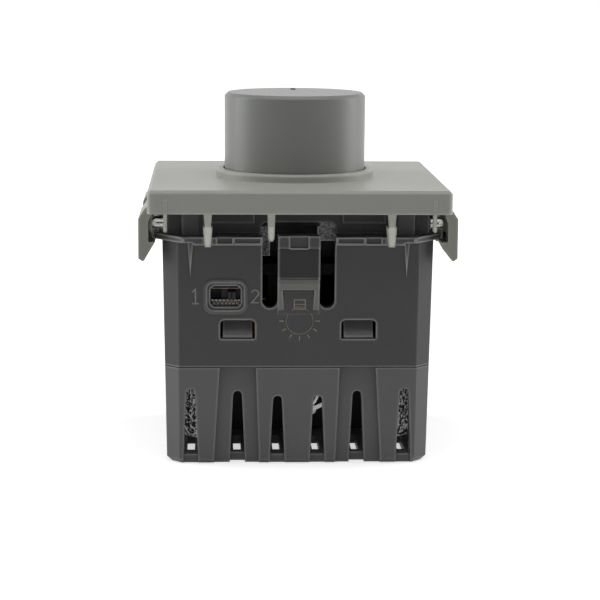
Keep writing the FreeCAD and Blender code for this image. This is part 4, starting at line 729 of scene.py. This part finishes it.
def bridge_hems(bm):
    """Four strips of sheet folded back on themselves, with the slit between the two layers."""
    for sx in (-1, 1):
        for sy in (-1, 1):
            outer = arc((HEM_END, HEM_LEVEL), HEM_RADIUS, -90, 90, 16)
            inner = arc((HEM_END - 0.1, HEM_LEVEL), HEM_SLIT, 90, -90, 6)
            outline = [(HEM_ROOT, HEM_LEVEL - HEM_RADIUS), *outer, (HEM_ROOT, HEM_LEVEL + HEM_RADIUS),
                       (HEM_ROOT, HEM_LEVEL + HEM_SLIT), *inner, (HEM_ROOT, HEM_LEVEL - HEM_SLIT)]
            outline = [(sx * px, pz) for px, pz in outline]
            near_ring = [bm.verts.new((px, sy * HEM_NEAR, pz)) for px, pz in outline]
            far_ring = [bm.verts.new((px, sy * HEM_FAR, pz)) for px, pz in outline]
            bm.faces.new(near_ring)
            bm.faces.new(reversed(far_ring))
            for n, start in enumerate(near_ring):
                after = (n + 1) % len(near_ring)
                wall = bm.faces.new((start, near_ring[after], far_ring[after], far_ring[n]))
                wall.smooth = 0 < n < len(outer)


# Small upright ribs on the flange's edges, where its corners are cut

RIB_X = 17.3
RIB_HALF = 0.27
RIB_SLOPE = 0.06
RIB_LOW = 34.3
RIB_HIGH = 35.05
RIB_FACE = 19.35
RIB_PROUD = 19.55


def flange_ribs(bm):
    """Four low ribs with sloped sides, one at each cut corner."""
    for sx in (-1, 1):
        for sy in (-1, 1):
            rings = []
            for face, slope in ((RIB_FACE, 0.0), (RIB_PROUD, RIB_SLOPE)):
                half, low, high = RIB_HALF - slope, RIB_LOW + slope, RIB_HIGH - slope
                corners = ((-half, low), (half, low), (half, high), (-half, high))
                rings.append([bm.verts.new((sx * (RIB_X + d), sy * face, z)) for d, z in corners])
            base, top = rings
            bm.faces.new(base)
            bm.faces.new(top)
            for n in range(4):
                after = (n + 1) % 4
                bm.faces.new((base[n], base[after], top[after], top[n]))


# Sleeved leads from the power board to the terminals, seen behind one vent

THIN_RADIUS = 0.2
THIN_ROUTE = [(4.9, -12.2, 12.6), (4.9, -12.4, 12.1), (4.2, -14.6, 11.7), (3.3, -15.1, 10.4),
              (2.45, -15.1, 8.9), (1.0, -9.0, 6.6), (1.4, -1.5, 6.2), (1.4, 0.45, 6.2)]
THICK_RADIUS = 0.3
THICK_ROUTE = [(7.9, -12.0, 12.0), (7.9, -12.2, 11.0), (6.6, -14.4, 9.9), (4.6, -15.2, 9.1),
               (2.0, -15.0, 7.8), (1.6, -11.0, 6.2), (3.2, -3.0, 4.9), (3.4, 0.45, 4.8)]
LEAD_SIDES = 16
LEAD_STEPS = 10


def smooth_path(points):
    """Points along the smooth line through a few chosen points."""
    points = [Vector(p) for p in points]
    padded = [points[0] * 2 - points[1], *points, points[-1] * 2 - points[-2]]
    path = []
    for before, start, end, after in zip(padded, padded[1:], padded[2:], padded[3:]):
        for n in range(LEAD_STEPS):
            t = n / LEAD_STEPS
            path.append((start * 2 + (end - before) * t
                         + (before * 2 - start * 5 + end * 4 - after) * t**2
                         + (start * 3 - before - end * 3 + after) * t**3) / 2)
    path.append(points[-1])
    return path


def tube(bm, path, radius):
    """A round tube along a path, its rings kept from twisting, with closed ends."""
    rings = []
    side = Vector((0, 0, 1)).cross(path[1] - path[0])
    if side.length < 1e-6:
        side = Vector((1, 0, 0))
    for n, point in enumerate(path):
        ahead = (path[min(n + 1, len(path) - 1)] - path[max(n - 1, 0)]).normalized()
        side = (side - ahead * side.dot(ahead)).normalized()
        up = ahead.cross(side)
        turns = [2 * math.pi * k / LEAD_SIDES for k in range(LEAD_SIDES)]
        spokes = [side * math.cos(t) + up * math.sin(t) for t in turns]
        rings.append([bm.verts.new(point + spoke * radius) for spoke in spokes])
    for first, second in zip(rings, rings[1:]):
        for k in range(LEAD_SIDES):
            face = (first[k], first[(k + 1) % LEAD_SIDES], second[(k + 1) % LEAD_SIDES], second[k])
            bm.faces.new(face).smooth = True
    bm.faces.new(reversed(rings[0]))
    bm.faces.new(rings[-1])


def sleeved_leads(bm):
    """Two leads, which cross where the vent shows them."""
    tube(bm, smooth_path(THIN_ROUTE), THIN_RADIUS)
    tube(bm, smooth_path(THICK_ROUTE), THICK_RADIUS)


def make_pieces(materials):
    """The pieces that the solids lack, each riding on the housing's body."""
    print_ink = moulded("print_ink", shade(178, 172, 152), 0.6, gloss=0.2)
    number_plastic = moulded("number_plastic", shade(150, 150, 147), 0.5, gloss=0.3)
    crimped = metal("crimped_shell", shade(122, 118, 112), 0.25, scale=2500, spots=0.4)
    card = moulded("card_paper", shade(26, 27, 29), 0.7, 2500, 2e-5, gloss=0.2)
    add_piece("lamp_sign", lamp_sign, print_ink, "housing")
    add_piece("number_one", number_one, number_plastic, "housing")
    add_piece("number_two", number_two, number_plastic, "housing")
    add_piece("selector_shell", selector_shell, crimped, "housing")
    add_piece("bridge_hems", bridge_hems, materials["bent_zinc"], "housing")
    add_piece("flange_ribs", flange_ribs, materials["housing_plastic"], "housing")
    add_piece("insulation_card", insulation_card, card, "housing")
    leads = add_piece("sleeved_leads", sleeved_leads, materials["lead_sleeve"], "housing")
    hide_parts("jumper_leads")


bpy.context.scene.view_settings.view_transform = "Standard"
make_camera()
make_lamps()
make_world()
make_floor()
materials = make_materials()
dress_nodes(materials)
make_pieces(materials)
